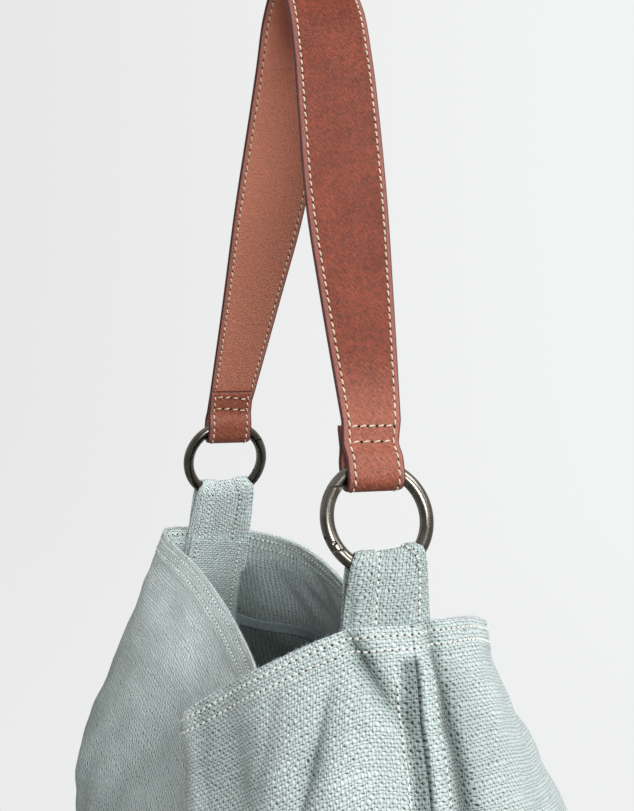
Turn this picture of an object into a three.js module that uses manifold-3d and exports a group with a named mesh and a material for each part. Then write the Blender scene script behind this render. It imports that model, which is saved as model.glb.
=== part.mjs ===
// Jute slouch bag hung up by its leather strap. Millimetres, +Z up.
// X runs from tab to tab, with the near tab at +X, and Y runs across the bag.
// The origin is the underside of the strap's crown, where a hook or a shoulder carries the bag.

import * as THREE from 'three';
import { mergeVertices } from 'three/addons/utils/BufferGeometryUtils.js';
import Module from 'manifold-3d';

const wasm = await Module();
wasm.setup();

// Driving dimensions
const CLEARANCE = 0.3;            // left between pieces that touch
const SEAT = 0.5;                 // left between cloth that lies on cloth
const CLOTH = 2.2;                // wall of the bag
const TAB_CLOTH = 1.8;            // folded cloth of a tab
const FACING_CLOTH = 1.2;         // inside strip that covers a tab's legs
const LEATHER = 3.2;              // strap, two thicknesses glued and sewn
const CROWN_LEAN = { x: 8, y: 10.5 };   // crown of the strap, from the middle of the bag
const MOUTH_DROP = 299;           // from the crown down to the mouth's edge at the tabs

const RING = { radius: 22.9, wire: 3.1, sides: 12, steps: 36, reach: 130, drop: 254, tilt: 18 };
const GATE = { top: 14.1, bottom: -13.5, parting: 0.4, opens: 9 };
const PIN = { u: -21.6, v: -10.2, radius: 0.8, length: 6, sides: 12 };
const TONGUE = { thickness: 1.8, slot: 2.4, nose: 3.1, nosePlay: 0.7, heel: 2.4, heelPlay: 1 };

const TAB = { bridge: 4, tuck: 26, stations: 9, legPoints: 4, loopPoints: 7 };
const FACING = { half: 18, top: 3, length: 90, stations: 7, rows: 12, settle: 14 };
const TAPE = { width: 6, thickness: 1, depth: 63 };
const PANEL = { columns: 34, rowsPerLevel: 3, crowding: 0.4 };   // columns crowd towards the seams
const LOOP = { half: 12.5, parts: 24.5, joins: 33, end: 41.5, leaves: 43, bendSteps: 8, sideSteps: 5 };

// Steps for working things out on the body's surface
const STEP = 0.002;               // of turn and level, for slopes
const STRIDE = 0.02;              // of level, for going down the cloth
const SEAM_REACH = 0.065;         // of turn, either side of a seam
const HALVINGS = 40;              // of that reach, to find a place on the mouth's edge
const PAST = 2;                   // how far a cutting block runs past what it cuts

// Stations round the body, from the near seam by the front to the far seam and back.
// mouth, shoulder and hip are plan points, and dip is how far the mouth's edge sags there.
const STATIONS = [
  { turn: 0.000, mouth: [145, 9.5], dip: 0, shoulder: [170, 14], hip: [184, 10] },
  { turn: 0.040, mouth: [143, -19.5], dip: 1, shoulder: [165, -18], hip: [180, -22] },
  { turn: 0.085, mouth: [127, -50], dip: 17, shoulder: [147, -50], hip: [162, -52] },
  { turn: 0.135, mouth: [95, -77], dip: 42, shoulder: [98, -74], hip: [115, -76] },
  { turn: 0.180, mouth: [62, -62], dip: 54, shoulder: [62, -66], hip: [72, -78] },
  { turn: 0.235, mouth: [22, -24], dip: 56, shoulder: [20, -42], hip: [15, -72] },
  { turn: 0.300, mouth: [-30, -19], dip: 38, shoulder: [-35, -50], hip: [-42, -86] },
  { turn: 0.360, mouth: [-80, -27], dip: 15, shoulder: [-80, -66], hip: [-90, -98] },
  { turn: 0.430, mouth: [-140, -36], dip: 0, shoulder: [-140, -60], hip: [-150, -73] },
  { turn: 0.500, mouth: [-148, -9.5], dip: 0, shoulder: [-172, -14], hip: [-184, -10] },
  { turn: 0.545, mouth: [-142, 22], dip: 3, shoulder: [-165, 22], hip: [-178, 25] },
  { turn: 0.600, mouth: [-112, 44], dip: 9, shoulder: [-128, 58], hip: [-140, 74] },
  { turn: 0.670, mouth: [-62, 53], dip: 22, shoulder: [-68, 68], hip: [-75, 92] },
  { turn: 0.740, mouth: [-8, 52], dip: 38, shoulder: [-5, 64], hip: [0, 88] },
  { turn: 0.805, mouth: [48, 60], dip: 33, shoulder: [50, 78], hip: [60, 98] },
  { turn: 0.870, mouth: [100, 67], dip: 14, shoulder: [102, 88], hip: [110, 110] },
  { turn: 0.925, mouth: [127, 46], dip: 3, shoulder: [150, 58], hip: [160, 66] },
  { turn: 0.965, mouth: [141, 25], dip: 0, shoulder: [167, 34], hip: [180, 36] },
];
const FAR_SEAM = 0.5;
const SHOULDER = { drop: 61, follow: 0.55 };   // follow is the share of the mouth's dip kept there
const HIP = { drop: 121, follow: 0.3 };

// Plain lower body, down to the bottom seam
const SECTIONS = [
  { drop: 200, halfLength: 186, halfDepth: 105 },
  { drop: 272, halfLength: 184, halfDepth: 99 },
  { drop: 328, halfLength: 179, halfDepth: 76 },
  { drop: 359, halfLength: 174, halfDepth: 40 },
  { drop: 370, halfLength: 170, halfDepth: 0 },
];
const SECTION_POWER = 0.86;       // below 1 fills out the corners of the oval

// Folds pressed into the cloth: place round the bag, half width, depth, and the drops it spans
const FOLDS = [
  { turn: 0.052, spread: 0.014, depth: 5, from: 8, to: 90 },
  { turn: 0.100, spread: 0.012, depth: 6, from: 50, to: 150 },
  { turn: 0.948, spread: 0.013, depth: 5, from: 6, to: 80 },
  { turn: 0.455, spread: 0.014, depth: 5, from: 8, to: 90 },
  { turn: 0.560, spread: 0.014, depth: 5, from: 8, to: 90 },
];

// Middle line of the strap over its crown, with its sideways lean and half width
const STRAP_RUN = [
  { x: 92.5, z: -160, lean: 4.5, half: 17 },
  { x: 71, z: -114, lean: 7, half: 19.7 },
  { x: 53.5, z: -68, lean: 9, half: 19.9 },
  { x: 42.5, z: -40, lean: 10, half: 19.5 },
  { x: 29, z: -14, lean: 10.5, half: 19.2 },
  { x: 8, z: 1.6, lean: 10.5, half: 19 },
  { x: -13, z: -12, lean: 10.5, half: 19 },
  { x: -24, z: -36, lean: 10, half: 19.2 },
  { x: -35, z: -62, lean: 9, half: 19.5 },
  { x: -56, z: -107, lean: 7, half: 19.5 },
  { x: -85, z: -157, lean: 4.5, half: 16.5 },
];
// The two ends: their seam, and how far each tab spreads across its foot and round its ring in degrees
const ENDS = [
  { name: 'near', end: 1, seam: 1, tab: { foot: [-19, 22], fan: [-38, 50] } },
  { name: 'far', end: -1, seam: FAR_SEAM, tab: { foot: [-19, 19], fan: [-48, 42] } },
];

const STRAP_STEPS = 64;
const STRAP_FOOT = { lean: 1.5, half: 13.2 };

// Materials
function finish(color, roughness, metalness) {
  return new THREE.MeshStandardMaterial({ color, roughness, metalness });
}
const CLOTH_FINISH = finish(0xb4c0be, 0.95, 0);
const TAPE_FINISH = finish(0x414c46, 0.9, 0);
const LEATHER_FINISH = finish(0x9a5c48, 0.55, 0);
const RING_FINISH = finish(0x6b6257, 0.3, 1);

// Smooth curve through a ring of values at uneven turns
function aroundRing(rows, turn, pick) {
  const count = rows.length;
  const t = turn - Math.floor(turn);
  let i = count - 1;
  while (rows[i].turn > t) i -= 1;
  const at = (k) => {
    const lap = Math.floor(k / count);
    const row = rows[k - lap * count];
    return { turn: row.turn + lap, value: pick(row) };
  };
  const [a, b, c, d] = [at(i - 1), at(i), at(i + 1), at(i + 2)];
  const span = c.turn - b.turn;
  const slopeB = ((c.value - a.value) / (c.turn - a.turn)) * span;
  const slopeC = ((d.value - b.value) / (d.turn - b.turn)) * span;
  return hermite(b.value, c.value, slopeB, slopeC, (t - b.turn) / span);
}

function hermite(from, to, slopeFrom, slopeTo, s) {
  const s2 = s * s;
  const s3 = s2 * s;
  return from * (2 * s3 - 3 * s2 + 1) + to * (3 * s2 - 2 * s3)
    + slopeFrom * (s3 - 2 * s2 + s) + slopeTo * (s3 - s2);
}

const smooth = (s) => s * s * (3 - 2 * s);
const clamp01 = (s) => Math.min(1, Math.max(0, s));

// Body surface: level 0 is the mouth, 1 the shoulder, 2 the hip, then the plain sections
const LEVELS = 2 + SECTIONS.length;

function levelPoint(turn, level) {
  if (level > 2) {
    const section = SECTIONS[level - 3];
    const angle = turn * 2 * Math.PI;
    const round = (value) => Math.sign(value) * Math.abs(value) ** SECTION_POWER;
    return new THREE.Vector3(
      section.halfLength * round(Math.cos(angle)),
      -section.halfDepth * round(Math.sin(angle)),
      -MOUTH_DROP - section.drop,
    );
  }
  const key = ['mouth', 'shoulder', 'hip'][level];
  const dip = aroundRing(STATIONS, turn, (row) => row.dip);
  const drop = [dip, SHOULDER.drop + SHOULDER.follow * dip, HIP.drop + HIP.follow * dip][level];
  return new THREE.Vector3(
    aroundRing(STATIONS, turn, (row) => row[key][0]),
    aroundRing(STATIONS, turn, (row) => row[key][1]),
    -MOUTH_DROP - drop,
  );
}

function smoothBody(turn, v) {
  const i = Math.min(Math.floor(v), LEVELS - 1);
  const [b, c] = [levelPoint(turn, i), levelPoint(turn, i + 1)];
  const a = i > 0 ? levelPoint(turn, i - 1) : b;
  const d = i + 2 <= LEVELS ? levelPoint(turn, i + 2) : c;
  const slopeB = c.clone().sub(a).multiplyScalar(i > 0 ? 0.5 : 1);
  const slopeC = d.clone().sub(b).multiplyScalar(i + 2 <= LEVELS ? 0.5 : 1);
  const axis = (k) => hermite(b[k], c[k], slopeB[k], slopeC[k], v - i);
  return new THREE.Vector3(axis('x'), axis('y'), axis('z'));
}

function foldDepth(turn, drop) {
  let depth = 0;
  for (const fold of FOLDS) {
    const away = Math.abs(turn - fold.turn);
    const side = Math.min(away, 1 - away) / fold.spread;
    const along = clamp01((drop - fold.from) / (fold.to - fold.from));
    depth += fold.depth * Math.exp(-side * side) * Math.sin(Math.PI * along) ** 2;
  }
  return depth;
}

function bodyPoint(turn, v) {
  const point = smoothBody(turn, v);
  const lap = turn - Math.floor(turn);
  const depth = foldDepth(lap, -MOUTH_DROP - point.z);
  const ahead = smoothBody(turn + STEP, v).sub(smoothBody(turn - STEP, v));
  const outward = new THREE.Vector3(-ahead.y, ahead.x, 0);
  if (depth > 0 && outward.length() > 0) point.addScaledVector(outward.normalize(), -depth);
  return point;
}

function bodyNormal(turn, v) {
  if (v >= LEVELS) return new THREE.Vector3(0, 0, -1);
  const around = bodyPoint(turn + STEP, v).sub(bodyPoint(turn - STEP, v));
  const down = bodyPoint(turn, Math.min(v + STEP, LEVELS)).sub(bodyPoint(turn, Math.max(v - STEP, 0)));
  return around.cross(down).normalize();
}

// Level reached by going a given length down the cloth from the mouth's edge
function levelBelowMouth(turn, length) {
  let v = 0;
  let gone = 0;
  let last = bodyPoint(turn, 0);
  while (gone < length) {
    v += STRIDE;
    const next = bodyPoint(turn, v);
    gone += next.distanceTo(last);
    last = next;
  }
  return v - STRIDE * (gone - length) / last.distanceTo(bodyPoint(turn, v - STRIDE));
}

// Even run of values with both ends in it
function spread(from, to, count) {
  return Array.from({ length: count }, (_, k) => from + (to - from) * k / (count - 1));
}

// Facets of one panel: the points and normals of its middle surface
function panelGrid(fromTurn) {
  const turns = spread(0, 1, PANEL.columns + 1).map((s) => {
    const crowd = PANEL.crowding * Math.sin(2 * Math.PI * s) / (2 * Math.PI);
    return fromTurn + FAR_SEAM * (s - crowd);
  });
  const levels = spread(0, LEVELS, LEVELS * PANEL.rowsPerLevel + 1);
  const points = levels.map((v) => turns.map((turn) => bodyPoint(turn, v)));
  const normals = levels.map((v) => turns.map((turn) => bodyNormal(turn, v)));
  return { turns, levels, points, normals };
}

const FRONT = panelGrid(0);
const BACK = panelGrid(FAR_SEAM);

// Point inside the wall's facets, a given length below the mouth and a given depth in from their middle
function insideWall(turn, length, depth) {
  const lap = turn - Math.floor(turn);
  const v = length > 0 ? levelBelowMouth(turn, length) : 0;
  const { turns, levels, points, normals } = lap < FAR_SEAM ? FRONT : BACK;
  const cell = (list, value) => {
    let k = list.length - 2;
    while (k > 0 && list[k] > value) k -= 1;
    return [k, (value - list[k]) / (list[k + 1] - list[k])];
  };
  const [c, across] = cell(turns, lap);
  const [r, down] = cell(levels, v);
  const blend = (grid) => {
    const upper = grid[r][c].clone().lerp(grid[r][c + 1], across);
    return upper.lerp(grid[r + 1][c].clone().lerp(grid[r + 1][c + 1], across), down);
  };
  return blend(points).addScaledVector(blend(normals).normalize(), -depth);
}

// Turn near a seam where the mouth's edge has a given Y
function turnAtMouth(seam, y) {
  let [low, high] = [seam - SEAM_REACH, seam + SEAM_REACH];
  const rising = levelPoint(high, 0).y > levelPoint(low, 0).y;
  for (let i = 0; i < HALVINGS; i += 1) {
    const middle = (low + high) / 2;
    if ((levelPoint(middle, 0).y < y) === rising) low = middle;
    else high = middle;
  }
  return (low + high) / 2;
}

// Solids made from sheets

function gridNormals(points) {
  const step = (list, k) => [Math.max(k - 1, 0), Math.min(k + 1, list.length - 1)];
  return points.map((row, r) => row.map((_, c) => {
    const [up, low] = step(points, r);
    const [left, right] = step(row, c);
    const along = points[low][c].clone().sub(points[up][c]);
    const across = row[right].clone().sub(row[left]);
    return along.cross(across).normalize();
  }));
}

// Closed solid of even thickness round a grid of points on its middle surface
function sheetSolid(points, thickness, normals = gridNormals(points)) {
  const [rows, columns] = [points.length, points[0].length];
  const positions = [];
  for (const side of [0.5, -0.5]) {
    points.forEach((row, r) => row.forEach((point, c) => {
      positions.push(...point.clone().addScaledVector(normals[r][c], side * thickness).toArray());
    }));
  }
  const top = (r, c) => r * columns + c;
  const under = (r, c) => rows * columns + top(r, c);
  const index = [];
  const quad = (a, b, c, d) => index.push(a, b, c, a, c, d);
  for (let r = 0; r + 1 < rows; r += 1) {
    for (let c = 0; c + 1 < columns; c += 1) {
      quad(top(r, c), top(r + 1, c), top(r + 1, c + 1), top(r, c + 1));
      quad(under(r, c), under(r, c + 1), under(r + 1, c + 1), under(r + 1, c));
    }
    quad(top(r, 0), under(r, 0), under(r + 1, 0), top(r + 1, 0));
    quad(top(r + 1, columns - 1), under(r + 1, columns - 1), under(r, columns - 1), top(r, columns - 1));
  }
  for (let c = 0; c + 1 < columns; c += 1) {
    quad(top(0, c + 1), under(0, c + 1), under(0, c), top(0, c));
    quad(top(rows - 1, c), under(rows - 1, c), under(rows - 1, c + 1), top(rows - 1, c + 1));
  }
  return facingOut(positions, index);
}

function facingOut(positions, index) {
  const corner = (k) => new THREE.Vector3().fromArray(positions, 3 * index[k]);
  let volume = 0;
  for (let k = 0; k < index.length; k += 3) volume += corner(k).dot(corner(k + 1).cross(corner(k + 2)));
  if (volume < 0) index.reverse();
  const geometry = new THREE.BufferGeometry();
  geometry.setAttribute('position', new THREE.Float32BufferAttribute(positions, 3));
  geometry.setIndex(index);
  geometry.computeVertexNormals();
  return geometry;
}

// Body panels, binding tape and facings

function panelGeometry(grid, side) {
  const points = grid.points.map((row) => row.map((point) => point.clone()));
  for (const row of points) {
    const last = row.length - 1;
    const shift = (edge, next) => row[next].clone().sub(row[edge]).setLength(CLEARANCE / 2);
    const [first, final] = [shift(0, 1), shift(last, last - 1)];
    row[0].add(first);
    row[last].add(final);
  }
  for (const point of points[points.length - 1]) point.y = side * CLEARANCE / 2;
  return sheetSolid(points, CLOTH, grid.normals);
}

function tapeGeometry(fromTurn, toTurn) {
  const depth = CLOTH / 2 + SEAT + TAPE.thickness / 2;
  const { turns: columns } = fromTurn < FAR_SEAM ? FRONT : BACK;
  const between = columns.filter((turn) => turn > fromTurn && turn < toTurn);
  const turns = [fromTurn, ...between, toTurn];
  const lengths = [TAPE.depth - TAPE.width / 2, TAPE.depth + TAPE.width / 2];
  const points = lengths.map((length) => turns.map((turn) => insideWall(turn, length, depth)));
  return sheetSolid(points, TAPE.thickness);
}

const LEG_DEPTHS = [1, 2].map((n) => CLOTH / 2 + n * SEAT + (n - 0.5) * TAB_CLOTH);

function facingGeometry(seam) {
  const beside = CLOTH / 2 + SEAT + FACING_CLOTH / 2;
  const overLegs = LEG_DEPTHS[1] + TAB_CLOTH / 2 + SEAT + FACING_CLOTH / 2;
  const turns = spread(-FACING.half, FACING.half, FACING.stations).map((y) => turnAtMouth(seam, y));
  const points = spread(FACING.top, FACING.top + FACING.length, FACING.rows).map((length) => {
    const past = clamp01((length - TAB.tuck - 1) / FACING.settle);
    const depth = overLegs + (beside - overLegs) * smooth(past);
    return turns.map((turn) => insideWall(turn, length, depth));
  });
  return sheetSolid(points, FACING_CLOTH);
}

// Rings hang in a plane that leans in with the strap: u across, v up the plane, n out of it
const TILT = THREE.MathUtils.degToRad(RING.tilt);

function ringPoint(end, u, v, n) {
  const x = RING.reach + n * Math.cos(TILT) - v * Math.sin(TILT);
  const z = -RING.drop + n * Math.sin(TILT) + v * Math.cos(TILT);
  return new THREE.Vector3(end * x, end * u, z);
}

// Cloth tab: both legs are tucked inside the wall, and its loop goes round the foot of the ring
function tabGeometry({ end, seam, tab }) {
  const tucks = spread(TAB.tuck, 0, TAB.legPoints);
  const around = RING.wire + CLEARANCE + TAB_CLOTH / 2;
  const arc = spread(0, Math.PI, TAB.loopPoints);
  const stations = spread(0, 1, TAB.stations).map((share) => {
    const between = ([low, high]) => low + share * (high - low);
    const fan = THREE.MathUtils.degToRad(between(tab.fan));
    const bridge = TAB.bridge * Math.sin(Math.PI * share);
    const turn = turnAtMouth(seam, end * between(tab.foot));
    const leg = (depth) => tucks.map((length) => insideWall(turn, length, depth));
    const loop = arc.map((angle) => {
      const r = RING.radius - (around + bridge) * Math.sin(angle);
      return ringPoint(end, r * Math.sin(fan), -r * Math.cos(fan), around * Math.cos(angle));
    });
    return [...leg(LEG_DEPTHS[0]), ...loop, ...leg(LEG_DEPTHS[1]).reverse()];
  });
  return sheetSolid(stations, TAB_CLOTH);
}

// Strap: one leather ribbon from fold-back to fold-back, looped round both rings

function loopPath(end) {
  const inner = RING.radius - RING.wire;
  const bend = RING.wire + CLEARANCE + LEATHER / 2;
  const centre = Math.sqrt(inner ** 2 - LOOP.half ** 2) - CLEARANCE + bend - LEATHER / 2;
  const ply = (LEATHER + CLEARANCE) / 2;
  const side = spread(0, 1, LOOP.sideSteps).map((share) => [
    bend + (ply - bend) * smooth(share),
    LOOP.parts + (LOOP.joins - LOOP.parts) * share,
  ]);
  const foldBack = [[-ply, LOOP.end], ...side.map(([n, v]) => [-n, v]).reverse()];
  const bottom = spread(Math.PI, 2 * Math.PI, LOOP.bendSteps + 1)
    .map((angle) => [bend * Math.cos(angle), centre + bend * Math.sin(angle)]);
  const path = [...foldBack, ...bottom, ...side];
  return path.map(([n, v]) => ({ point: ringPoint(end, 0, v, n), half: LOOP.half }));
}

function strapGeometry() {
  const ply = (LEATHER + CLEARANCE) / 2;
  const foot = (end) => {
    const { x, z } = ringPoint(end, 0, LOOP.leaves, ply);
    return { x, z, ...STRAP_FOOT };
  };
  const rows = [foot(1), ...STRAP_RUN, foot(-1)];
  const line = new THREE.CatmullRomCurve3(rows.map((row) => new THREE.Vector3(row.x, row.lean, row.z)));
  const widths = new THREE.CatmullRomCurve3(rows.map((row, k) => new THREE.Vector3(k, row.half, 0)));
  const steps = spread(0, 1, STRAP_STEPS + 1);
  const run = steps.map((t) => ({ point: line.getPoint(t), half: widths.getPoint(t).y }));
  const stations = [...loopPath(1), ...run, ...loopPath(-1).reverse()];
  const across = ({ point, half }) => [-half, half].map((y) => point.clone().setY(point.y + y));
  return sheetSolid(stations.map(across), LEATHER);
}

// Cutting and joining of closed meshes

function solid(geometry) {
  const bare = geometry.clone();
  bare.deleteAttribute('normal');
  bare.deleteAttribute('uv');
  const merged = mergeVertices(bare);
  const vertProperties = new Float32Array(merged.attributes.position.array);
  const triVerts = new Uint32Array(merged.index.array);
  return new wasm.Manifold(new wasm.Mesh({ numProp: 3, vertProperties, triVerts }));
}

function geometryOf(manifold) {
  const { vertProperties, triVerts } = manifold.getMesh();
  const geometry = new THREE.BufferGeometry();
  geometry.setAttribute('position', new THREE.BufferAttribute(vertProperties, 3));
  geometry.setIndex(new THREE.BufferAttribute(triVerts, 1));
  geometry.computeVertexNormals();
  return geometry;
}

// Box between two corners, turned about the gate's pin
function pinBox(low, high, turnBy = 0) {
  const [a, b] = [new THREE.Vector3(...low), new THREE.Vector3(...high)];
  const size = b.clone().sub(a);
  const middle = a.clone().add(b).multiplyScalar(0.5);
  const box = new THREE.BoxGeometry(size.x, size.y, size.z);
  box.translate(middle.x - PIN.u, middle.y - PIN.v, middle.z);
  box.rotateZ(turnBy);
  box.translate(PIN.u, PIN.v, 0);
  return solid(box);
}

function pinCylinder(radius, length) {
  const cylinder = new THREE.CylinderGeometry(radius, radius, length, PIN.sides);
  cylinder.rotateX(Math.PI / 2);
  cylinder.translate(PIN.u, PIN.v, 0);
  return cylinder;
}

// Spring gate ring: the gate is the ring's outer side between two level cuts, forked over
// a tongue at each end, and it swings inwards until its nose meets the strap's edge
function ringAndGate() {
  const beyond = RING.radius + 2 * RING.wire;
  const torus = solid(new THREE.TorusGeometry(RING.radius, RING.wire, RING.sides, RING.steps));
  const slab = (bottom, top, thickness, turnBy) =>
    pinBox([-beyond, bottom, -thickness / 2], [0, top, thickness / 2], turnBy);
  const half = GATE.parting / 2;
  const wide = 2 * (RING.wire + PAST);
  const hole = solid(pinCylinder(PIN.radius + CLEARANCE, PIN.length + PAST));

  const nose = torus.intersect(slab(GATE.top - TONGUE.nose, GATE.top + PAST, TONGUE.thickness));
  const heel = torus.intersect(slab(GATE.bottom - PAST, PIN.v + TONGUE.heel, TONGUE.thickness));
  const ring = torus.subtract(slab(GATE.bottom - half, GATE.top + half, wide))
    .add(nose).add(heel).subtract(hole);

  let gate = torus.intersect(slab(GATE.bottom + half, GATE.top - half, wide))
    .subtract(slab(GATE.top - TONGUE.nose - TONGUE.nosePlay, GATE.top + PAST, TONGUE.slot))
    .subtract(slab(GATE.bottom - PAST, PIN.v + TONGUE.heel + TONGUE.heelPlay, TONGUE.slot))
    .subtract(hole);
  const inner = RING.radius - RING.wire;
  const loopFoot = Math.sqrt(inner ** 2 - LOOP.half ** 2) - CLEARANCE - LEATHER;
  for (const share of [0.5, 1]) {
    const swing = THREE.MathUtils.degToRad(GATE.opens * share);
    const strapRoom = pinBox(
      [-LOOP.half - CLEARANCE, loopFoot - CLEARANCE, -wide], [0, beyond, wide], swing);
    gate = gate.subtract(strapRoom).subtract(slab(-beyond, GATE.bottom + half, wide, swing));
  }
  return { ring: geometryOf(ring), gate: geometryOf(gate) };
}

// Assembly
function mesh(name, geometry, material) {
  const piece = new THREE.Mesh(geometry, material);
  piece.name = name;
  return piece;
}

const bag = new THREE.Group();
bag.position.set(-CROWN_LEAN.x, -CROWN_LEAN.y, 0);
bag.add(mesh('panel_front', panelGeometry(FRONT, -1), CLOTH_FINISH));
bag.add(mesh('panel_back', panelGeometry(BACK, 1), CLOTH_FINISH));

// Each tape runs from one facing's edge to the other's
const edge = FACING.half + 2 * CLEARANCE;
const frontTape = tapeGeometry(turnAtMouth(0, -edge), turnAtMouth(FAR_SEAM, -edge));
const backTape = tapeGeometry(turnAtMouth(FAR_SEAM, edge), turnAtMouth(1, edge));
bag.add(mesh('binding_front', frontTape, TAPE_FINISH));
bag.add(mesh('binding_back', backTape, TAPE_FINISH));

const hardware = ringAndGate();
for (const side of ENDS) {
  const { name, end, seam } = side;
  bag.add(mesh(`tab_${name}`, tabGeometry(side), CLOTH_FINISH));
  bag.add(mesh(`facing_${name}`, facingGeometry(seam), CLOTH_FINISH));
  const origin = ringPoint(end, 0, 0, 0);
  const axis = (u, v, n) => ringPoint(end, u, v, n).sub(origin);
  const place = new THREE.Group();
  place.position.copy(origin);
  place.quaternion.setFromRotationMatrix(
    new THREE.Matrix4().makeBasis(axis(1, 0, 0), axis(0, 1, 0), axis(0, 0, 1)));
  place.add(mesh(`ring_${name}`, hardware.ring, RING_FINISH));
  place.add(mesh(`gate_${name}`, hardware.gate, RING_FINISH));
  place.add(mesh(`pin_${name}`, pinCylinder(PIN.radius, PIN.length), RING_FINISH));
  bag.add(place);
}
bag.add(mesh('strap', strapGeometry(), LEATHER_FINISH));

export default bag;
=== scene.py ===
"""Looks of a jute slouch bag hung by its leather strap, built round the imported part.

Lengths are millimetres about the middle of the bag, as in the part's source, until a mesh is made.
"""

import math

import bpy
import numpy as np
from mathutils import Matrix, Vector


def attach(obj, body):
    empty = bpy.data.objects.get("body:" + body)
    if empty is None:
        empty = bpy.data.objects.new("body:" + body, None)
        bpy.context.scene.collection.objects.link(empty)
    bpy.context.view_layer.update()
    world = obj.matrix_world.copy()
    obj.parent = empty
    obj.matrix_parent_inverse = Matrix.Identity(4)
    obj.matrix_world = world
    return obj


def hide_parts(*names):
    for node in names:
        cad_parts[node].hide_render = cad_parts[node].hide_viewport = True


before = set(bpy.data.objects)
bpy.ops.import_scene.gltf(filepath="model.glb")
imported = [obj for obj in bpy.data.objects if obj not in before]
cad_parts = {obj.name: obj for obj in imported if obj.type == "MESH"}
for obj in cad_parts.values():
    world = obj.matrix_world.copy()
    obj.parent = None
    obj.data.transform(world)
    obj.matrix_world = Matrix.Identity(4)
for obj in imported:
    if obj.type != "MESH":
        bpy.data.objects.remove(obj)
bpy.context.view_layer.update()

MM = 0.001
RANDOM = np.random.default_rng(11)

# Main sizes, the same as in the part's source
CLEARANCE = 0.3
SEAT = 0.5
CLOTH = 2.2
TAB_CLOTH = 1.8
FACING_CLOTH = 1.2
LEATHER = 3.2
CROWN_LEAN = np.array([8.0, 10.5, 0.0])
MOUTH_DROP = 299.0

RING_RADIUS, RING_WIRE, RING_REACH, RING_DROP = 22.9, 3.1, 130.0, 254.0
RING_TILT = math.radians(18)
GATE_TOP, GATE_BOTTOM, GATE_OPENS = 14.1, -13.5, math.radians(9)
PIN_U, PIN_V, PIN_RADIUS, PIN_LENGTH = -21.6, -10.2, 0.8, 6.0
TONGUE = {"thickness": 1.8, "slot": 2.4, "nose": 3.1, "nose_play": 0.7, "heel": 2.4, "heel_play": 1.0}

TAB_BRIDGE, TAB_TUCK, TAB_LEG_POINTS, TAB_LOOP_POINTS = 4.0, 26.0, 4, 7
FACING_HALF, FACING_TOP, FACING_LENGTH = 18.0, 3.0, 90.0
TAPE_WIDTH, TAPE_THICKNESS, TAPE_DEPTH = 6.0, 1.0, 63.0
LOOP_HALF, LOOP_PARTS, LOOP_JOINS, LOOP_LEAVES = 12.5, 24.5, 33.0, 43.0

# Wider here than in the part's source: the gates' partings, whose dark lines show,
# and the length over which the facings settle onto the wall
GATE_PARTING, FACING_SETTLE = 0.8, 46.0

# Stations round the body, from the near seam by the front to the far seam and back:
# turn, mouth x, mouth y, dip, shoulder x, shoulder y, hip x, hip y
STATIONS = np.array([
    (0.000, 145, 9.5, 0, 170, 14, 184, 10),
    (0.040, 143, -19.5, 1, 165, -18, 180, -22),
    (0.085, 127, -50, 17, 147, -50, 162, -52),
    (0.135, 95, -77, 42, 98, -74, 115, -76),
    (0.180, 62, -62, 54, 62, -66, 72, -78),
    (0.235, 22, -24, 56, 20, -42, 15, -72),
    (0.300, -30, -19, 38, -35, -50, -42, -86),
    (0.360, -80, -27, 15, -80, -66, -90, -98),
    (0.430, -140, -36, 0, -140, -60, -150, -73),
    (0.500, -148, -9.5, 0, -172, -14, -184, -10),
    (0.545, -142, 22, 3, -165, 22, -178, 25),
    (0.600, -112, 44, 9, -128, 58, -140, 74),
    (0.670, -62, 53, 22, -68, 68, -75, 92),
    (0.740, -8, 52, 38, -5, 64, 0, 88),
    (0.805, 48, 60, 33, 50, 78, 60, 98),
    (0.870, 100, 67, 14, 102, 88, 110, 110),
    (0.925, 127, 46, 3, 150, 58, 160, 66),
    (0.965, 141, 25, 0, 167, 34, 180, 36),
])
TURN, DIP = 0, 3
LEVEL_COLUMNS = ((1, 2), (4, 5), (6, 7))
FAR_SEAM = 0.5
SHOULDER_DROP, SHOULDER_FOLLOW = 61.0, 0.55
HIP_DROP, HIP_FOLLOW = 121.0, 0.3

# Plain lower body: drop, half length, half depth
SECTIONS = ((200, 186, 105), (272, 184, 99), (328, 179, 76), (359, 174, 40), (370, 170, 0))
SECTION_POWER = 0.86
LAST_LEVEL = len(LEVEL_COLUMNS) + len(SECTIONS) - 1

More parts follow.
